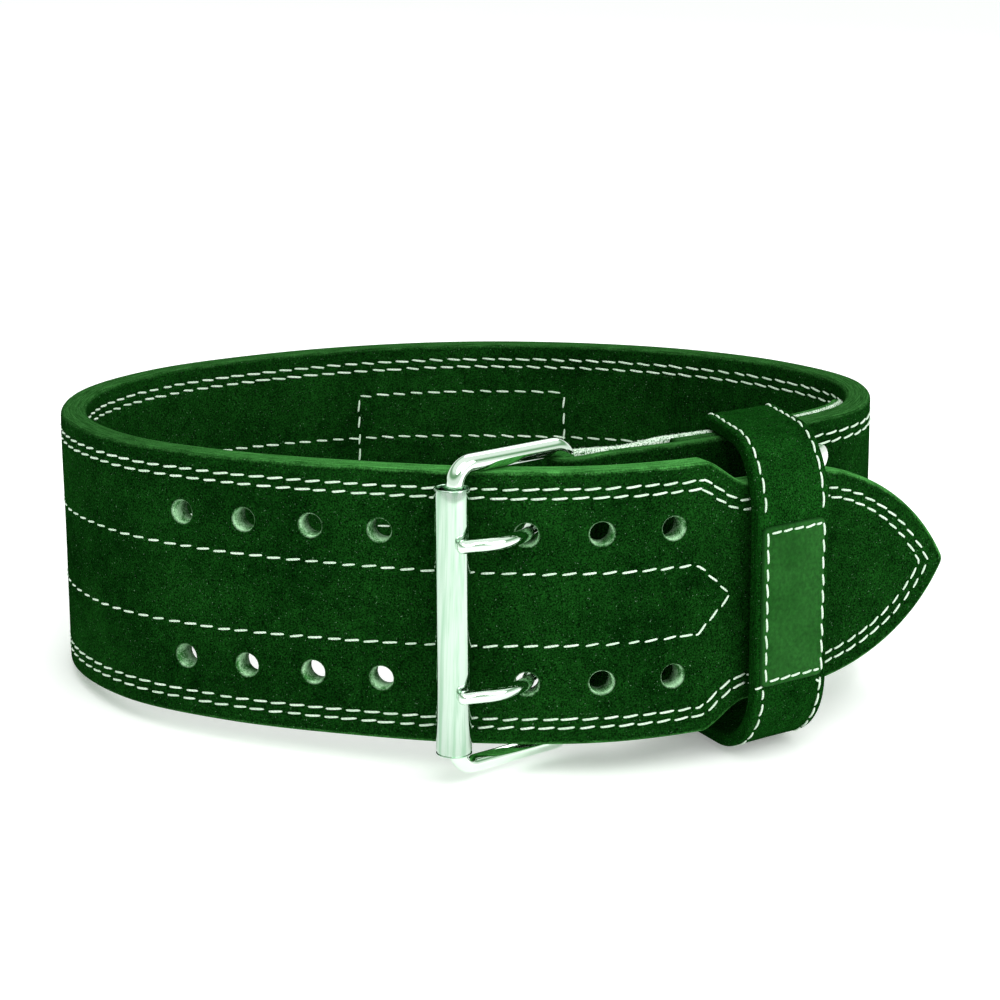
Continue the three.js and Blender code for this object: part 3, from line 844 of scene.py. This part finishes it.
def make_frame():
    reach = bar - rod_point
    deep = float(np.linalg.norm(reach))
    across = reach / deep
    tall = MIDDLE + FRAME_SIDE_CLEARANCE + WIRE
    centre = MIDDLE - (FRAME_SIDE_CLEARANCE - RUNNING_GAP)
    ring = rounded_rectangle(0, deep, centre - tall, centre + tall, FRAME_BEND, FRAME_BEND, 14)
    dense = []
    for a, b in zip(ring, np.roll(ring, -1, 0)):
        count = max(1, math.ceil(np.linalg.norm(b - a) / 4))
        dense.append(lerp(a, b, np.linspace(0, 1, count, endpoint=False)[:, None]))
    ring = np.vstack(dense)
    flat = rod_point + ring[:, :1] * across
    points = np.hstack([flat, ring[:, 1:]])
    normal = np.array([across[1], -across[0], 0.0])
    verts, faces = sweep(points, np.full(len(points), WIRE), 40, normal, closed=True)
    return add_mesh("frame_wire", verts, faces)


def lathe(profile, sides, centre, axes):
    """A turned body: profile of (radius, height) round the third axis."""
    a = np.linspace(0, 2 * math.pi, sides, endpoint=False)
    first, second, third = axes
    ring = np.cos(a)[:, None] * first + np.sin(a)[:, None] * second
    verts, faces = [], []
    for radius, height in profile:
        verts.append(centre + third * height + ring * radius)
    for i in range(len(profile) - 1):
        for k in range(sides):
            m = (k + 1) % sides
            faces.append((i * sides + k, i * sides + m, (i + 1) * sides + m, (i + 1) * sides + k))
    return np.vstack(verts), faces


def make_roller():
    bore, half = ROLLER - ROLLER_WALL, ROLLER_LENGTH / 2
    lip = 0.45
    corner = [(lip * (1 - math.sin(a)), lip * (1 - math.cos(a))) for a in np.linspace(0, math.pi / 2, 6)]
    low = [(ROLLER - x, -half + y) for y, x in corner]
    top = [(r, -h) for r, h in reversed(low)]
    hole_low = [(bore + x * 0.8, -half + y * 0.8) for y, x in reversed(corner)]
    hole_top = [(r, -h) for r, h in reversed(hole_low)]
    walls = [(ROLLER, h) for h in np.linspace(-half + 2, half - 2, 20)]
    bores = [(bore, h) for h in np.linspace(half - 2, -half + 2, 20)]
    profile = [*low, *walls, *top, *hole_top, *bores, *hole_low]
    profile.append(profile[0])
    centre = np.array([*roller_point, MIDDLE - ROLLER_SAG])
    verts, faces = lathe(profile, 96, centre, np.eye(3))
    return add_mesh("roller_tube", verts, faces, sharp=50)


def prong_points():
    eye = WIRE + RUNNING_GAP + PRONG
    hole_along = strap.heading(PRONG_HOLES)
    lean = (HOLE_DIAMETER / 2 - PRONG - RUNNING_GAP) * LEAN_SHARE
    inner = strap.place(PRONG_HOLES, 0, -HALF)[:2] + hole_along * lean
    outer = strap.place(PRONG_HOLES, 0, HALF)[:2] - hole_along * lean
    to_mouth = inner - bar
    heading = math.atan2(to_mouth[1], to_mouth[0])
    leave = heading - math.acos(eye / float(np.linalg.norm(to_mouth)))
    around = math.radians(PRONG_EYE_ANGLE)
    count = max(1, round(around / math.radians(24)))
    angles = np.linspace(leave + around, leave, count + 1)
    eyes = bar + eye * np.stack([np.cos(angles), np.sin(angles)], -1)
    seat = ROLLER + RUNNING_GAP + PRONG + SEAT_RELIEF
    out, along = strap.out(roller_run), strap.heading(roller_run)

    def on_roller(degrees):
        a = math.radians(degrees)
        return roller_point + out * seat * math.cos(a) + along * seat * math.sin(a)

    meet = on_roller(PRONG_MEET_ANGLE)
    bow = lerp(outer, meet, BOW_PLACE) + out * PRONG_BOW
    return spline(np.vstack([eyes, inner, outer, bow, meet, on_roller(PRONG_TIP_ANGLE)]), 60)


def make_prong(name, height):
    path = Line(prong_points())
    tip = 1.9
    runs = np.concatenate([np.linspace(0, 1.2, 5), np.linspace(1.5, path.length - tip, 110)])
    ends = path.length - tip + tip * np.sin(np.linspace(0, math.pi / 2, 10))[1:]
    runs = np.concatenate([runs, ends])
    blunt_tip = np.clip((runs - (path.length - tip)) / tip, 0, 1)
    blunt_eye = np.clip((1.2 - runs) / 1.2, 0, 1)
    radii = PRONG * np.sqrt(1 - (0.93 * blunt_tip) ** 2) * (1 - 0.35 * blunt_eye**2)
    flat = path.at(runs)
    points = np.hstack([flat, np.full((len(flat), 1), height)])
    verts, faces = sweep(points, radii, 32, np.array([0.0, 0.0, 1.0]))
    return add_mesh(name, verts, faces, sharp=50)


def make_rivet(name, run, height):
    shank, cap = RIVET_SHANK_DIAMETER / 2, RIVET_CAP_DIAMETER / 2
    outer = HALF + SEAT_GAP
    inner = -(HALF + FOLD_THICKNESS + 2 * SEAT_GAP)
    deep = inner - RIVET_CAP_HEIGHT / 2
    head = cap * RIVET_HEAD_SHARE
    profile = [(0.01, deep), (head * 0.7, deep + 0.02), (head * 0.9, deep + 0.12), (head, deep + 0.45)]
    profile += [(head, inner), (shank, inner), (shank, outer), (cap * 0.98, outer), (cap, outer + 0.15)]
    for share in np.linspace(0.985, 0.0, 16):
        rise = RIVET_CAP_HEIGHT * math.sqrt(1 - (RIVET_DOME * share) ** 2)
        profile.append((max(cap * share, 0.01), outer + rise))
    axes = (
        np.array([*strap.heading(run), 0.0]), np.array([0.0, 0.0, 1.0]), np.array([*strap.out(run), 0.0])
    )
    centre = np.array([*strap.at(run), height])
    verts, faces = lathe(profile, 40, centre, axes)
    return add_mesh(name, verts, faces, sharp=45)


# Thread
def thread(name, place, rows, side, level, material, slot, radius=THREAD / 2, sides=8, sink=0.42, proud=0.3):
    """Stitches along rows. Each row is (points in (run, height), pitch of its own or None, phase)."""
    starts = []
    for points, pitch, phase in rows:
        path = Line(points)
        fine = np.linspace(0, path.length, 2000)
        steps = pitch or pitch_at(path.at(fine)[:, 0])
        counted = np.concatenate([[0], np.cumsum(np.diff(fine) / (np.broadcast_to(steps, fine.shape)[1:]))])
        marks = np.arange(phase, counted[-1] - STITCH_SHARE * 0.5, 1.0)
        marks = marks + chance.normal(0, 0.014, len(marks))
        ends = marks + STITCH_SHARE * chance.normal(1, 0.06, len(marks))
        a, b = (np.interp(v, counted, fine) for v in (marks, ends))
        count = np.linspace(0, 1, 9)
        spots = path.at(a[:, None] + (b - a)[:, None] * count[None, :])
        course = unit(spots[:, -1] - spots[:, 0])
        across = np.stack([-course[:, 1], course[:, 0]], -1)
        slant = (STITCH_SLANT + chance.normal(0, 0.03, len(a))) * (b - a) / 2
        sway = slant[:, None] * np.linspace(-1, 1, 9)[None, :] + chance.normal(0, 0.07, (len(a), 1))
        starts.append(spots + across[:, None] * sway[:, :, None])
    spots = np.concatenate(starts)
    t = np.linspace(0, 1, 9)
    arc = np.sin(math.pi * t) ** 0.45
    lift = (-sink + (sink + proud) * arc)[None, :] + chance.normal(0, 0.03, (len(spots), 1))
    run, height = spots[..., 0], spots[..., 1]
    base = place(run, height, side * (level + lift))
    over = place(run, height, side * (level + lift + 1.0))
    normal = unit(over - base)
    along = unit(np.gradient(base, axis=1))
    across = unit(np.cross(along, normal))
    normal = np.cross(across, along)
    thick = radius * (0.72 + 0.28 * np.sin(math.pi * t) ** 0.35)
    a = np.linspace(0, 2 * math.pi, sides, endpoint=False)
    ring = across[:, :, None] * np.cos(a)[None, None, :, None] * 1.08
    ring = ring + normal[:, :, None] * np.sin(a)[None, None, :, None] * 0.92
    verts = base[:, :, None] + ring * thick[None, :, None, None]
    total, stops = verts.shape[:2]
    faces = []
    for q in range(total):
        first = q * stops * sides
        for i in range(stops - 1):
            for k in range(sides):
                m = (k + 1) % sides
                p = first + i * sides
                faces.append((p + k, p + m, p + sides + m, p + sides + k))
        faces.append(tuple(first + k for k in reversed(range(sides))))
        faces.append(tuple(first + (stops - 1) * sides + k for k in range(sides)))
    lay = np.tile(np.linspace(0, 5.2, stops)[None, :, None], (total, 1, sides))
    wrap = np.tile(np.linspace(0, 1, sides, endpoint=False)[None, None, :], (total, stops, 1))
    tone = np.tile(chance.uniform(0, 1, (total, 1, 1)), (1, stops, sides))
    marks = {"lay": lay.ravel(), "wrap": wrap.ravel(), "tone": tone.ravel()}
    piece = add_mesh(name, verts.reshape(-1, 3), faces, marks, weld=False)
    return dress(piece, material, slot)


def edge_row(inset, start, end):
    """A row at a distance from the band's edge, on its upper half, round the tongue where it gets there."""
    lines = band_lines()
    edge = lines[:, :2]
    tangent = unit(np.gradient(edge, axis=0))
    inward = np.stack([tangent[:, 1], -tangent[:, 0]], -1)
    row = edge + inward * inset
    fine = (row[:, 1] > 0.5) & (edge[:, 0] >= start) & (edge[:, 0] <= end)
    return row[fine]


def on_band(row, sign):
    return np.stack([row[:, 0], MIDDLE + sign * row[:, 1]], -1)


BOX_MIDDLE = BACK + 11.0
BOX_HALF = 47.0
BOX_INSET = 21.0


def band_rows(outside):
    rows = []
    start = LAP_END + 4 if outside else 12 + FLAP_LENGTH
    corner, point = TIP - 112.5, TIP - 99.0
    for k, inset in enumerate(EDGE_ROWS):
        row = edge_row(inset, start, TIP)
        whole = np.vstack([on_band(row, 1), on_band(row, -1)[::-1]])
        rows.append((whole, None, 0.1 + 0.4 * k))
    runs = np.linspace(start, corner, 300)
    row = np.vstack([np.stack([runs, middle_row(runs)], -1), [[point, 0.0]]])
    rows.append((np.vstack([on_band(row, 1), on_band(row, -1)[::-1][1:]]), None, 0.3))
    for sign in (1, -1):
        top = MIDDLE - BOX_INSET
        wide = np.array([(BOX_MIDDLE - BOX_HALF, top), (BOX_MIDDLE + BOX_HALF, top)])
        rows.append((on_band(wide, sign), None, 0.12))
    for x in (BOX_MIDDLE - BOX_HALF, BOX_MIDDLE + BOX_HALF):
        tall = np.array([(x, BOX_INSET + 1.0), (x, BELT_WIDTH - BOX_INSET - 1.0)])
        rows.append((tall, 7.2, 0.1))
    return rows


KEEPER_ROW = KEEPER_WIDTH / 2 - 3.4


def keeper_rows():
    """The keeper's two rows, apart from where they go on over the patch."""
    gap = PATCH_HEIGHT / 2 + 1.5
    lines = []
    for wide, phase in ((KEEPER_ROW, 0.2), (-KEEPER_ROW, 0.5)):
        lines.append((np.array([(gap, wide), (keeper.length - gap, wide)]), 6.4, phase))
    foot = keeper.length - PATCH_DROP - PATCH_HEIGHT / 2
    tails = [((foot - 0.6, -KEEPER_ROW - 3.4), (foot + 0.5, 0.4 - KEEPER_ROW)), ((foot - 3.4, KEEPER_ROW + 0.9), (foot - 2.2, KEEPER_ROW - 2.2))]
    for tail in tails:
        lines.append((np.array(tail), 4.0, 0.02))
    return lines


def patch_rows():
    top = PATCH_HEIGHT / 2
    right = PATCH_WIDE / 2 - PATCH_SHORT - 0.7
    rows = [(np.array([(w, -top + 1.0), (w, top - 1.0)]), 6.4, 0.1) for w in (-KEEPER_ROW, right)]
    rows += [
        (np.array([(-KEEPER_ROW + 1.4, h), (right - 1.0, h)]), 5.4, 0.1)
        for h in (-top + PATCH_ROW, top - PATCH_ROW)
    ]
    return rows


# Raw edge
def make_fuzz(name, place, spots, material, slot, reach=1.1, width=0.11):
    """Short loose fibres. spots holds (run, height, offset); each fibre grows in a random direction tilted about
    the upward axis.
    """
    verts, faces = [], []
    base = place(spots[:, 0], spots[:, 1], spots[:, 2])
    count = len(base)
    grow = unit(chance.normal(0, 0.75, (count, 3)) + np.array([0, 0, 1.0]))
    size = chance.uniform(0.35, 1.0, count)[:, None] * reach
    curl = chance.normal(0, 0.35, (count, 3)) * size
    side = unit(np.cross(grow, chance.normal(0, 1, (count, 3))))
    third = np.cross(grow, side)
    stops = [(0.0, 1.0), (0.5, 0.8), (1.0, 0.25)]
    rings = []
    for t, slim in stops:
        centre = base + grow * size * t + curl * t * t
        for k in range(3):
            a = 2 * math.pi * k / 3
            rings.append(centre + (side * math.cos(a) + third * math.sin(a)) * width * slim)
    verts = np.stack(rings, 1).reshape(-1, 3)
    for q in range(count):
        p = q * 9
        for i in (0, 3):
            for k in range(3):
                m = (k + 1) % 3
                faces.append((p + i + k, p + i + m, p + i + 3 + m, p + i + 3 + k))
        faces.append((p + 6, p + 7, p + 8))
        faces.append((p + 2, p + 1, p + 0))
    piece = add_mesh(name, verts, faces, weld=False)
    return dress(piece, material, slot)


# Materials
class Nodes:
    """A short way to write a material's nodes."""

    def __init__(self, name):
        self.material = bpy.data.materials.new(name)
        self.material.use_nodes = True
        self.tree = self.material.node_tree
        self.shader = self.tree.nodes["Principled BSDF"]
        self.count = 0

    def node(self, kind, **values):
        made = self.tree.nodes.new(kind)
        made.location = (-220 * (1 + self.count % 9), 240 * (self.count // 9))
        self.count += 1
        for key, value in values.items():
            setattr(made, key, value)
        return made

    def link(self, source, target):
        self.tree.links.new(source, target)

    def set(self, socket, value):
        if hasattr(value, "is_output"):
            self.link(value, socket)
        else:
            socket.default_value = value

    def attribute(self, name):
        return self.node("ShaderNodeAttribute", attribute_name=name).outputs["Fac"]

    def place(self):
        return self.node("ShaderNodeTexCoord").outputs["Object"]

    def math(self, operation, a, b=0.0, c=0.0, clamp=False):
        made = self.node("ShaderNodeMath", operation=operation, use_clamp=clamp)
        for socket, value in zip(made.inputs, (a, b, c)):
            self.set(socket, value)
        return made.outputs[0]

    def noise(self, vector, scale, detail=3.0, rough=0.55):
        made = self.node("ShaderNodeTexNoise")
        self.link(vector, made.inputs["Vector"])
        self.set(made.inputs["Scale"], scale)
        self.set(made.inputs["Detail"], detail)
        self.set(made.inputs["Roughness"], rough)
        return made.outputs["Fac"]

    def remap(self, value, a, b, low=0.0, high=1.0):
        made = self.node("ShaderNodeMapRange", clamp=True)
        for key, number in zip(("Value", "From Min", "From Max", "To Min", "To Max"), (value, a, b, low, high)):
            self.set(made.inputs[key], number)
        return made.outputs["Result"]

    def mix(self, share, a, b, blend="MIX"):
        made = self.node("ShaderNodeMix", data_type="RGBA", blend_type=blend)
        self.set(made.inputs["Factor"], share)
        for key, value in (("A", a), ("B", b)):
            socket = next(s for s in made.inputs if s.name == key and s.type == "RGBA")
            self.set(socket, value)
        return next(s for s in made.outputs if s.type == "RGBA")

    def vector(self, x, y, z):
        made = self.node("ShaderNodeCombineXYZ")
        for socket, value in zip(made.inputs, (x, y, z)):
            self.set(socket, value)
        return made.outputs[0]

    def bump(self, height, strength, distance, normal=None):
        made = self.node("ShaderNodeBump")
        self.set(made.inputs["Height"], height)
        self.set(made.inputs["Strength"], strength)
        self.set(made.inputs["Distance"], distance)
        if normal is not None:
            self.link(normal, made.inputs["Normal"])
        return made.outputs["Normal"]

    def finish(self, **values):
        for key, value in values.items():
            self.set(self.shader.inputs[key.replace("_", " ")], value)
        return self.material


def rgb(r, g, b):
    return (r, g, b, 1.0)


def suede(name, dark, light, edge_colour, worn_colour, smooth=0.7, raw=0.0, line=None):
    """Napped leather with smoother edges and paler hole walls, which painted shade darkens deeper in the holes.
    raw whitens the upper edge, and line holds the runs between which its inner top corner is painted pale, partly
    a worn raw edge and partly a painted highlight; line also makes the edge colour lighter towards the tongue."""
    m = Nodes(name)
    spot = m.place()
    cloud = m.noise(spot, 26.0, 3.0)
    nap = m.noise(spot, 1700.0, 3.0, 0.65)
    brushed = m.noise(spot, 190.0, 3.0, 0.6)
    tone = m.math("ADD", m.math("MULTIPLY", cloud, 0.55), m.math("MULTIPLY", brushed, 0.45))
    colour = m.mix(m.remap(tone, 0.33, 0.67), dark, light)
    speck = m.remap(nap, 0.38, 0.62, 0.22, 1.85)
    edge = m.attribute("edge")
    depth = m.attribute("depth")
    run = m.attribute("run")
    lay = m.vector(m.math("MULTIPLY", run, 0.05), m.math("MULTIPLY", depth, 1.6), edge)
    streak = m.noise(lay, 1.6, 4.0, 0.6)
    fray = m.math("ADD", edge, m.math("MULTIPLY", m.math("SUBTRACT", brushed, 0.5), 2.4))
    rim = m.remap(fray, 0.1, 1.6, 1.0, 0.0)
    worn = m.mix(m.remap(streak, 0.36, 0.64), edge_colour, worn_colour)
    if line:
        front = m.remap(run, PRONG_HOLES - 160, PRONG_HOLES - 30, 0.75, 1.8)
        worn = m.mix(1.0, worn, m.vector(front, front, front), "MULTIPLY")
    colour = m.mix(rim, colour, worn)
    napped = m.math("SUBTRACT", 1.0, m.math("MULTIPLY", rim, smooth))
    colour = m.mix(napped, colour, m.vector(speck, speck, speck), "MULTIPLY")
    lint = m.remap(m.noise(spot, 1500.0, 2.0, 0.5), 0.69, 0.77)
    colour = m.mix(m.math("MULTIPLY", lint, 0.4), colour, rgb(0.30, 0.52, 0.31))
    if line:
        # Painted highlight, partly a worn raw edge: the inner top corner is mixed towards pale green between the
        # runs in line.
        rise = m.attribute("rise")
        wear_and_highlight = m.math("MULTIPLY", m.remap(depth, 1.5 - HALF, 0.8 - HALF), m.remap(rise, BELT_WIDTH - 3.0, BELT_WIDTH - 1.8))
        along = m.math("MULTIPLY", m.remap(run, line[0], line[0] + 30), m.remap(run, line[1], line[1] - 3))
        patchy = m.remap(m.math("ADD", nap, m.math("MULTIPLY", streak, 0.6)), 0.62, 0.86)
        share = m.math("MULTIPLY", m.math("MULTIPLY", wear_and_highlight, along), m.math("MULTIPLY", patchy, 0.9))
        colour = m.mix(share, colour, rgb(0.70, 0.84, 0.70))
    hole = m.attribute("hole")
    mottle = m.remap(m.math("ADD", brushed, m.math("MULTIPLY", m.math("SUBTRACT", nap, 0.5), 0.8)), 0.36, 0.64)
    cut = m.mix(mottle, rgb(0.045, 0.20, 0.045), rgb(0.60, 0.94, 0.60))
    # Painted shade: the pale cut colour of the hole walls darkens deeper into the hole, towards the inner face.
    deep = m.remap(depth, -HALF, HALF - 1.5, 0.12, 1.0)
    cut = m.mix(1.0, cut, m.vector(deep, deep, deep), "MULTIPLY")
    colour = m.mix(m.remap(hole, 0.3, 1.0), colour, cut)
    if raw:
        rise = m.attribute("rise")
        top = m.remap(m.math("ADD", rise, m.math("MULTIPLY", nap, 2.0)), BELT_WIDTH - 1.6, BELT_WIDTH - 0.2)
        pale = m.mix(m.remap(nap, 0.43, 0.54), rgb(0.05, 0.17, 0.05), rgb(0.82, 0.94, 0.82))
        inside = m.remap(run, FOLD_BAR + 1, FOLD_BAR + 12)
        waist_side = m.math("ADD", m.remap(run, FOLD_BAR + 60, FOLD_BAR + 120, 2.0, -0.9), depth)
        share = m.math("MULTIPLY", m.math("MULTIPLY", top, inside), m.remap(waist_side, -0.4, 0.8))
        colour = m.mix(m.math("MULTIPLY", share, raw), colour, pale)
    grain = m.bump(nap, 0.55, 0.00022)
    grain = m.bump(brushed, 0.25, 0.0004, grain)
    rough = m.remap(rim, 0.0, 1.0, 0.95, 0.8)
    shader = dict(Base_Color=colour, Roughness=rough, Normal=grain)
    m.finish(**shader)
    m.set(m.shader.inputs["Specular IOR Level"], 0.0)
    return m.material


def smooth_leather(name):
    m = Nodes(name)
    spot = m.place()
    cloud = m.noise(spot, 60.0, 3.0)
    pore = m.node("ShaderNodeTexVoronoi", feature="DISTANCE_TO_EDGE")
    m.link(spot, pore.inputs["Vector"])
    m.set(pore.inputs["Scale"], 1100.0)
    crackle = m.remap(pore.outputs["Distance"], 0.0, 0.12)
    colour = m.mix(m.remap(cloud, 0.35, 0.65), rgb(0.0085, 0.062, 0.0080), rgb(0.0140, 0.084, 0.0130))
    fine = m.noise(spot, 700.0, 3.0)
    shade = m.remap(fine, 0.3, 0.7, 0.72, 1.28)
    colour = m.mix(1.0, colour, m.vector(shade, shade, shade), "MULTIPLY")
    edge = m.remap(m.attribute("edge"), 0.1, 0.7, 1.0, 0.0)
    colour = m.mix(m.math("MULTIPLY", edge, 0.7), colour, rgb(0.006, 0.04, 0.007))
    bump = m.bump(crackle, 0.12, 0.0001)
    m.finish(Base_Color=colour, Roughness=m.remap(fine, 0.3, 0.7, 0.55, 0.68), Normal=bump)
    m.set(m.shader.inputs["Specular IOR Level"], 0.03)
    return m.material


def thread_material(name):
    m = Nodes(name)
    lay, wrap, tone = m.attribute("lay"), m.attribute("wrap"), m.attribute("tone")
    twist = m.math("SINE", m.math("ADD", m.math("MULTIPLY", lay, 5.6), m.math("MULTIPLY", wrap, 6.2832)))
    ply = m.remap(twist, -1.0, 1.0)
    fluff = m.noise(m.place(), 2600.0, 3.0)
    base = m.mix(tone, rgb(0.56, 0.72, 0.56), rgb(0.74, 0.86, 0.73))
    # Painted shade: the grooves between the plies are mixed towards a darker green, besides the bump.
    base = m.mix(m.remap(ply, 0.0, 0.35, 0.45, 0.0), base, rgb(0.30, 0.46, 0.30))
    base = m.mix(m.remap(fluff, 0.35, 0.65, 0.15, 0.0), base, rgb(0.45, 0.6, 0.45))
    bump = m.bump(ply, 0.5, 0.00025)
    m.finish(Base_Color=base, Roughness=0.75, Normal=bump)
    m.set(m.shader.inputs["Sheen Weight"], 0.2)
    return m.material


def fibre_material(name):
    m = Nodes(name)
    colour = m.mix(m.noise(m.place(), 900.0, 2.0), rgb(0.45, 0.62, 0.45), rgb(0.95, 0.99, 0.95))
    m.finish(Base_Color=colour, Roughness=0.9)
    return m.material


def metal(name, colour, low, high, tiny, drawn=False):
    m = Nodes(name)
    spot = m.place()
    if drawn:
        lie = m.node("ShaderNodeVectorMath", operation="MULTIPLY")
        m.link(spot, lie.inputs[0])
        m.set(lie.inputs[1], (1.0, 1.0, 0.02))
        lines = m.remap(m.noise(lie.outputs[0], 420.0, 3.0, 0.6), 0.40, 0.54)
    smudge = m.noise(spot, 45.0, 4.0, 0.6)
    scuff = m.noise(spot, 900.0, 2.0)
    rough = m.remap(smudge, 0.35, 0.75, low, high)
    base = m.mix(m.remap(smudge, 0.3, 0.8), colour, rgb(*(c * 0.93 for c in colour[:3])))
    if drawn:
        base = m.mix(lines, rgb(*(c * s for c, s in zip(colour, (0.66, 0.82, 0.70)))), base)
    bump = m.bump(scuff, tiny, 0.00004)
    m.finish(Base_Color=base, Roughness=rough, Normal=bump, Metallic=1.0)
    return m.material


def floor_material():
    m = Nodes("pale_floor")
    colour = m.mix(m.noise(m.place(), 3.0), rgb(0.93, 0.93, 0.93), rgb(0.95, 0.95, 0.95))
    m.finish(Base_Color=colour, Roughness=0.9)
    m.set(m.shader.inputs["Emission Color"], rgb(1.0, 1.0, 1.0))
    m.set(m.shader.inputs["Emission Strength"], 0.25)
    return m.material


SUEDE = (rgb(0.0012, 0.0130, 0.0014), rgb(0.0046, 0.039, 0.0044))
BURNISHED = (rgb(0.010, 0.055, 0.009), rgb(0.040, 0.165, 0.036))
strap_suede = suede(
    "strap_suede", *SUEDE, *BURNISHED,
    line=(PRONG_HOLES + 15, TIP - SHOULDER_FROM_TIP + 3),
)
fold_suede = suede("fold_suede", *SUEDE, *BURNISHED, raw=1.0)
keeper_suede = suede(
    "keeper_suede", rgb(0.0014, 0.0160, 0.0016), rgb(0.0050, 0.046, 0.0050),
    rgb(0.0014, 0.018, 0.0015), rgb(0.0032, 0.033, 0.0034), smooth=0.1,
)
patch_leather = smooth_leather("patch_leather")
cream = thread_material("white_thread")
fibre = fibre_material("loose_fibre")
chrome = metal("chrome_plate", rgb(0.80, 0.94, 0.82), 0.05, 0.12, 0.05)
nickel = metal("nickel_plate", rgb(0.88, 0.94, 0.87), 0.18, 0.28, 0.08)

# Pieces
dress(make_band(), strap_suede, "suede", "belt_strap")
dress(make_fold(), fold_suede, "suede", "buckle_fold")
dress(make_keeper(), keeper_suede, "suede", "keeper_loop")
dress(make_patch(), patch_leather, "smooth_leather", "keeper_patch")
dress(make_frame(), chrome, "chrome", "buckle_frame")
# The roller's chrome is a darker, greener copy of the frame's chrome: a painted reflection of the green suede
# round it.
dress(make_roller(), metal("drawn_chrome", rgb(0.54, 0.66, 0.57), 0.06, 0.14, 0.05, drawn=True), "chrome", "buckle_roller")
dress(make_prong("prong_rod_upper", HOLE_HEIGHTS[0]), chrome, "chrome", "prong_upper")
dress(make_prong("prong_rod_lower", HOLE_HEIGHTS[1]), chrome, "chrome", "prong_lower")
for number, run in enumerate(RIVET_RUNS, 1):
    for word, height in (("lower", RIVET_FROM_EDGE), ("upper", BELT_WIDTH - RIVET_FROM_EDGE)):
        node = f"rivet_{number}_{word}"
        dress(make_rivet(f"{node}_cap", run, height), nickel, "nickel", node)

thread("stitches_outside", strap.place, band_rows(True), 1, HALF - GROOVE_DEPTH, cream, "suede")
thread("stitches_inside", strap.place, band_rows(False), -1, HALF - GROOVE_DEPTH, cream, "suede")
thread("stitches_keeper", keeper.place, keeper_rows(), 1, KEEPER_THICKNESS / 2 - 0.22, cream, "suede")
thread(
    "stitches_patch", patch_place, patch_rows(), 1, PATCH_THICKNESS / 2 - 0.16, cream, "suede",
    radius=0.42, sink=0.35, proud=0.25,
)

FIBRES = 3200
raw_runs = chance.uniform(FOLD_BAR + 6, fold.length - 0.5, FIBRES)
across = chance.uniform(-1.8, 1.8, FIBRES)
thinning = np.interp(raw_runs, [FOLD_BAR + 60, FOLD_BAR + 120], [1.6, -1.4])
raw_spots = np.stack([raw_runs, np.full(FIBRES, BELT_WIDTH - 0.3), across], -1)[across > -thinning]
make_fuzz("raw_edge_fibres", fold.place, raw_spots, fibre, "suede", reach=0.7, width=0.09)

# Floor, camera and light
bpy.ops.mesh.primitive_plane_add(size=120, location=(0, 0, 0))
floor = bpy.context.object
floor.name = "floor"
floor.data.materials.append(floor_material())
floor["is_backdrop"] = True

FOCAL_PIXELS = 2700.0
PICTURE = 1000.0
SENSOR = 36.0
CAMERA_AT = Vector((0.0125, -1.0527, 0.3188))
CAMERA_PITCH = 0.24095
CAMERA_ROLL = -0.00483

camera = bpy.data.objects.new("camera", bpy.data.cameras.new("camera"))
camera.data.sensor_width = SENSOR
camera.data.lens = SENSOR * FOCAL_PIXELS / PICTURE
camera.data.clip_end = 50
looking = (
    Matrix.Translation(CAMERA_AT)
    @ Matrix.Rotation(math.pi / 2 - CAMERA_PITCH, 4, "X")
    @ Matrix.Rotation(CAMERA_ROLL, 4, "Z")
)
camera.matrix_world = LEANING @ looking
bpy.context.scene.collection.objects.link(camera)
bpy.context.scene.camera = camera


def soft_light(name, at, towards, size, power):
    lamp = bpy.data.objects.new(name, bpy.data.lights.new(name, "AREA"))
    lamp.data.shape = "DISK"
    lamp.data.size = size
    lamp.data.energy = power
    lamp.location = at
    lamp.rotation_euler = (Vector(towards) - Vector(at)).to_track_quat("-Z", "Y").to_euler()
    bpy.context.scene.collection.objects.link(lamp)


soft_light("key_light", (0.2, -1.1, 1.4), (0, 0, 0.05), 1.4, 14)
soft_light("fill_light", (1.3, -0.9, 0.9), (0, 0, 0.05), 1.2, 11)
soft_light("back_light", (0.2, 1.3, 1.3), (0, 0, 0.05), 1.2, 9)

world = bpy.data.worlds.new("studio")
world.use_nodes = True
sky = world.node_tree
coordinate = sky.nodes.new("ShaderNodeTexCoord")
split = sky.nodes.new("ShaderNodeSeparateXYZ")
bands = sky.nodes.new("ShaderNodeValToRGB")
sky.links.new(coordinate.outputs["Generated"], split.inputs[0])
sky.links.new(split.outputs["Z"], bands.inputs["Fac"])
sky.links.new(bands.outputs["Color"], sky.nodes["Background"].inputs["Color"])
SKY = (
    (0.0, (0.95, 0.96, 0.95)), (0.22, (0.80, 0.87, 0.81)), (0.38, (0.17, 0.33, 0.18)), (0.52, (0.23, 0.39, 0.24)),
    (0.66, (0.90, 0.96, 0.91)), (1.0, (1.0, 1.0, 1.0)),
)
while len(bands.color_ramp.elements) < len(SKY):
    bands.color_ramp.elements.new(0.5)
for element, (height, tone) in zip(bands.color_ramp.elements, SKY):
    element.position = height
    element.color = (*tone, 1)
sky.nodes["Background"].inputs["Strength"].default_value = 1.0
bpy.context.scene.world = world
bpy.context.scene.view_settings.view_transform = "Standard"

bpy.context.view_layer.update()
made_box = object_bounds()
floor.location.z = min(0.0, float(made_box[0][2]))
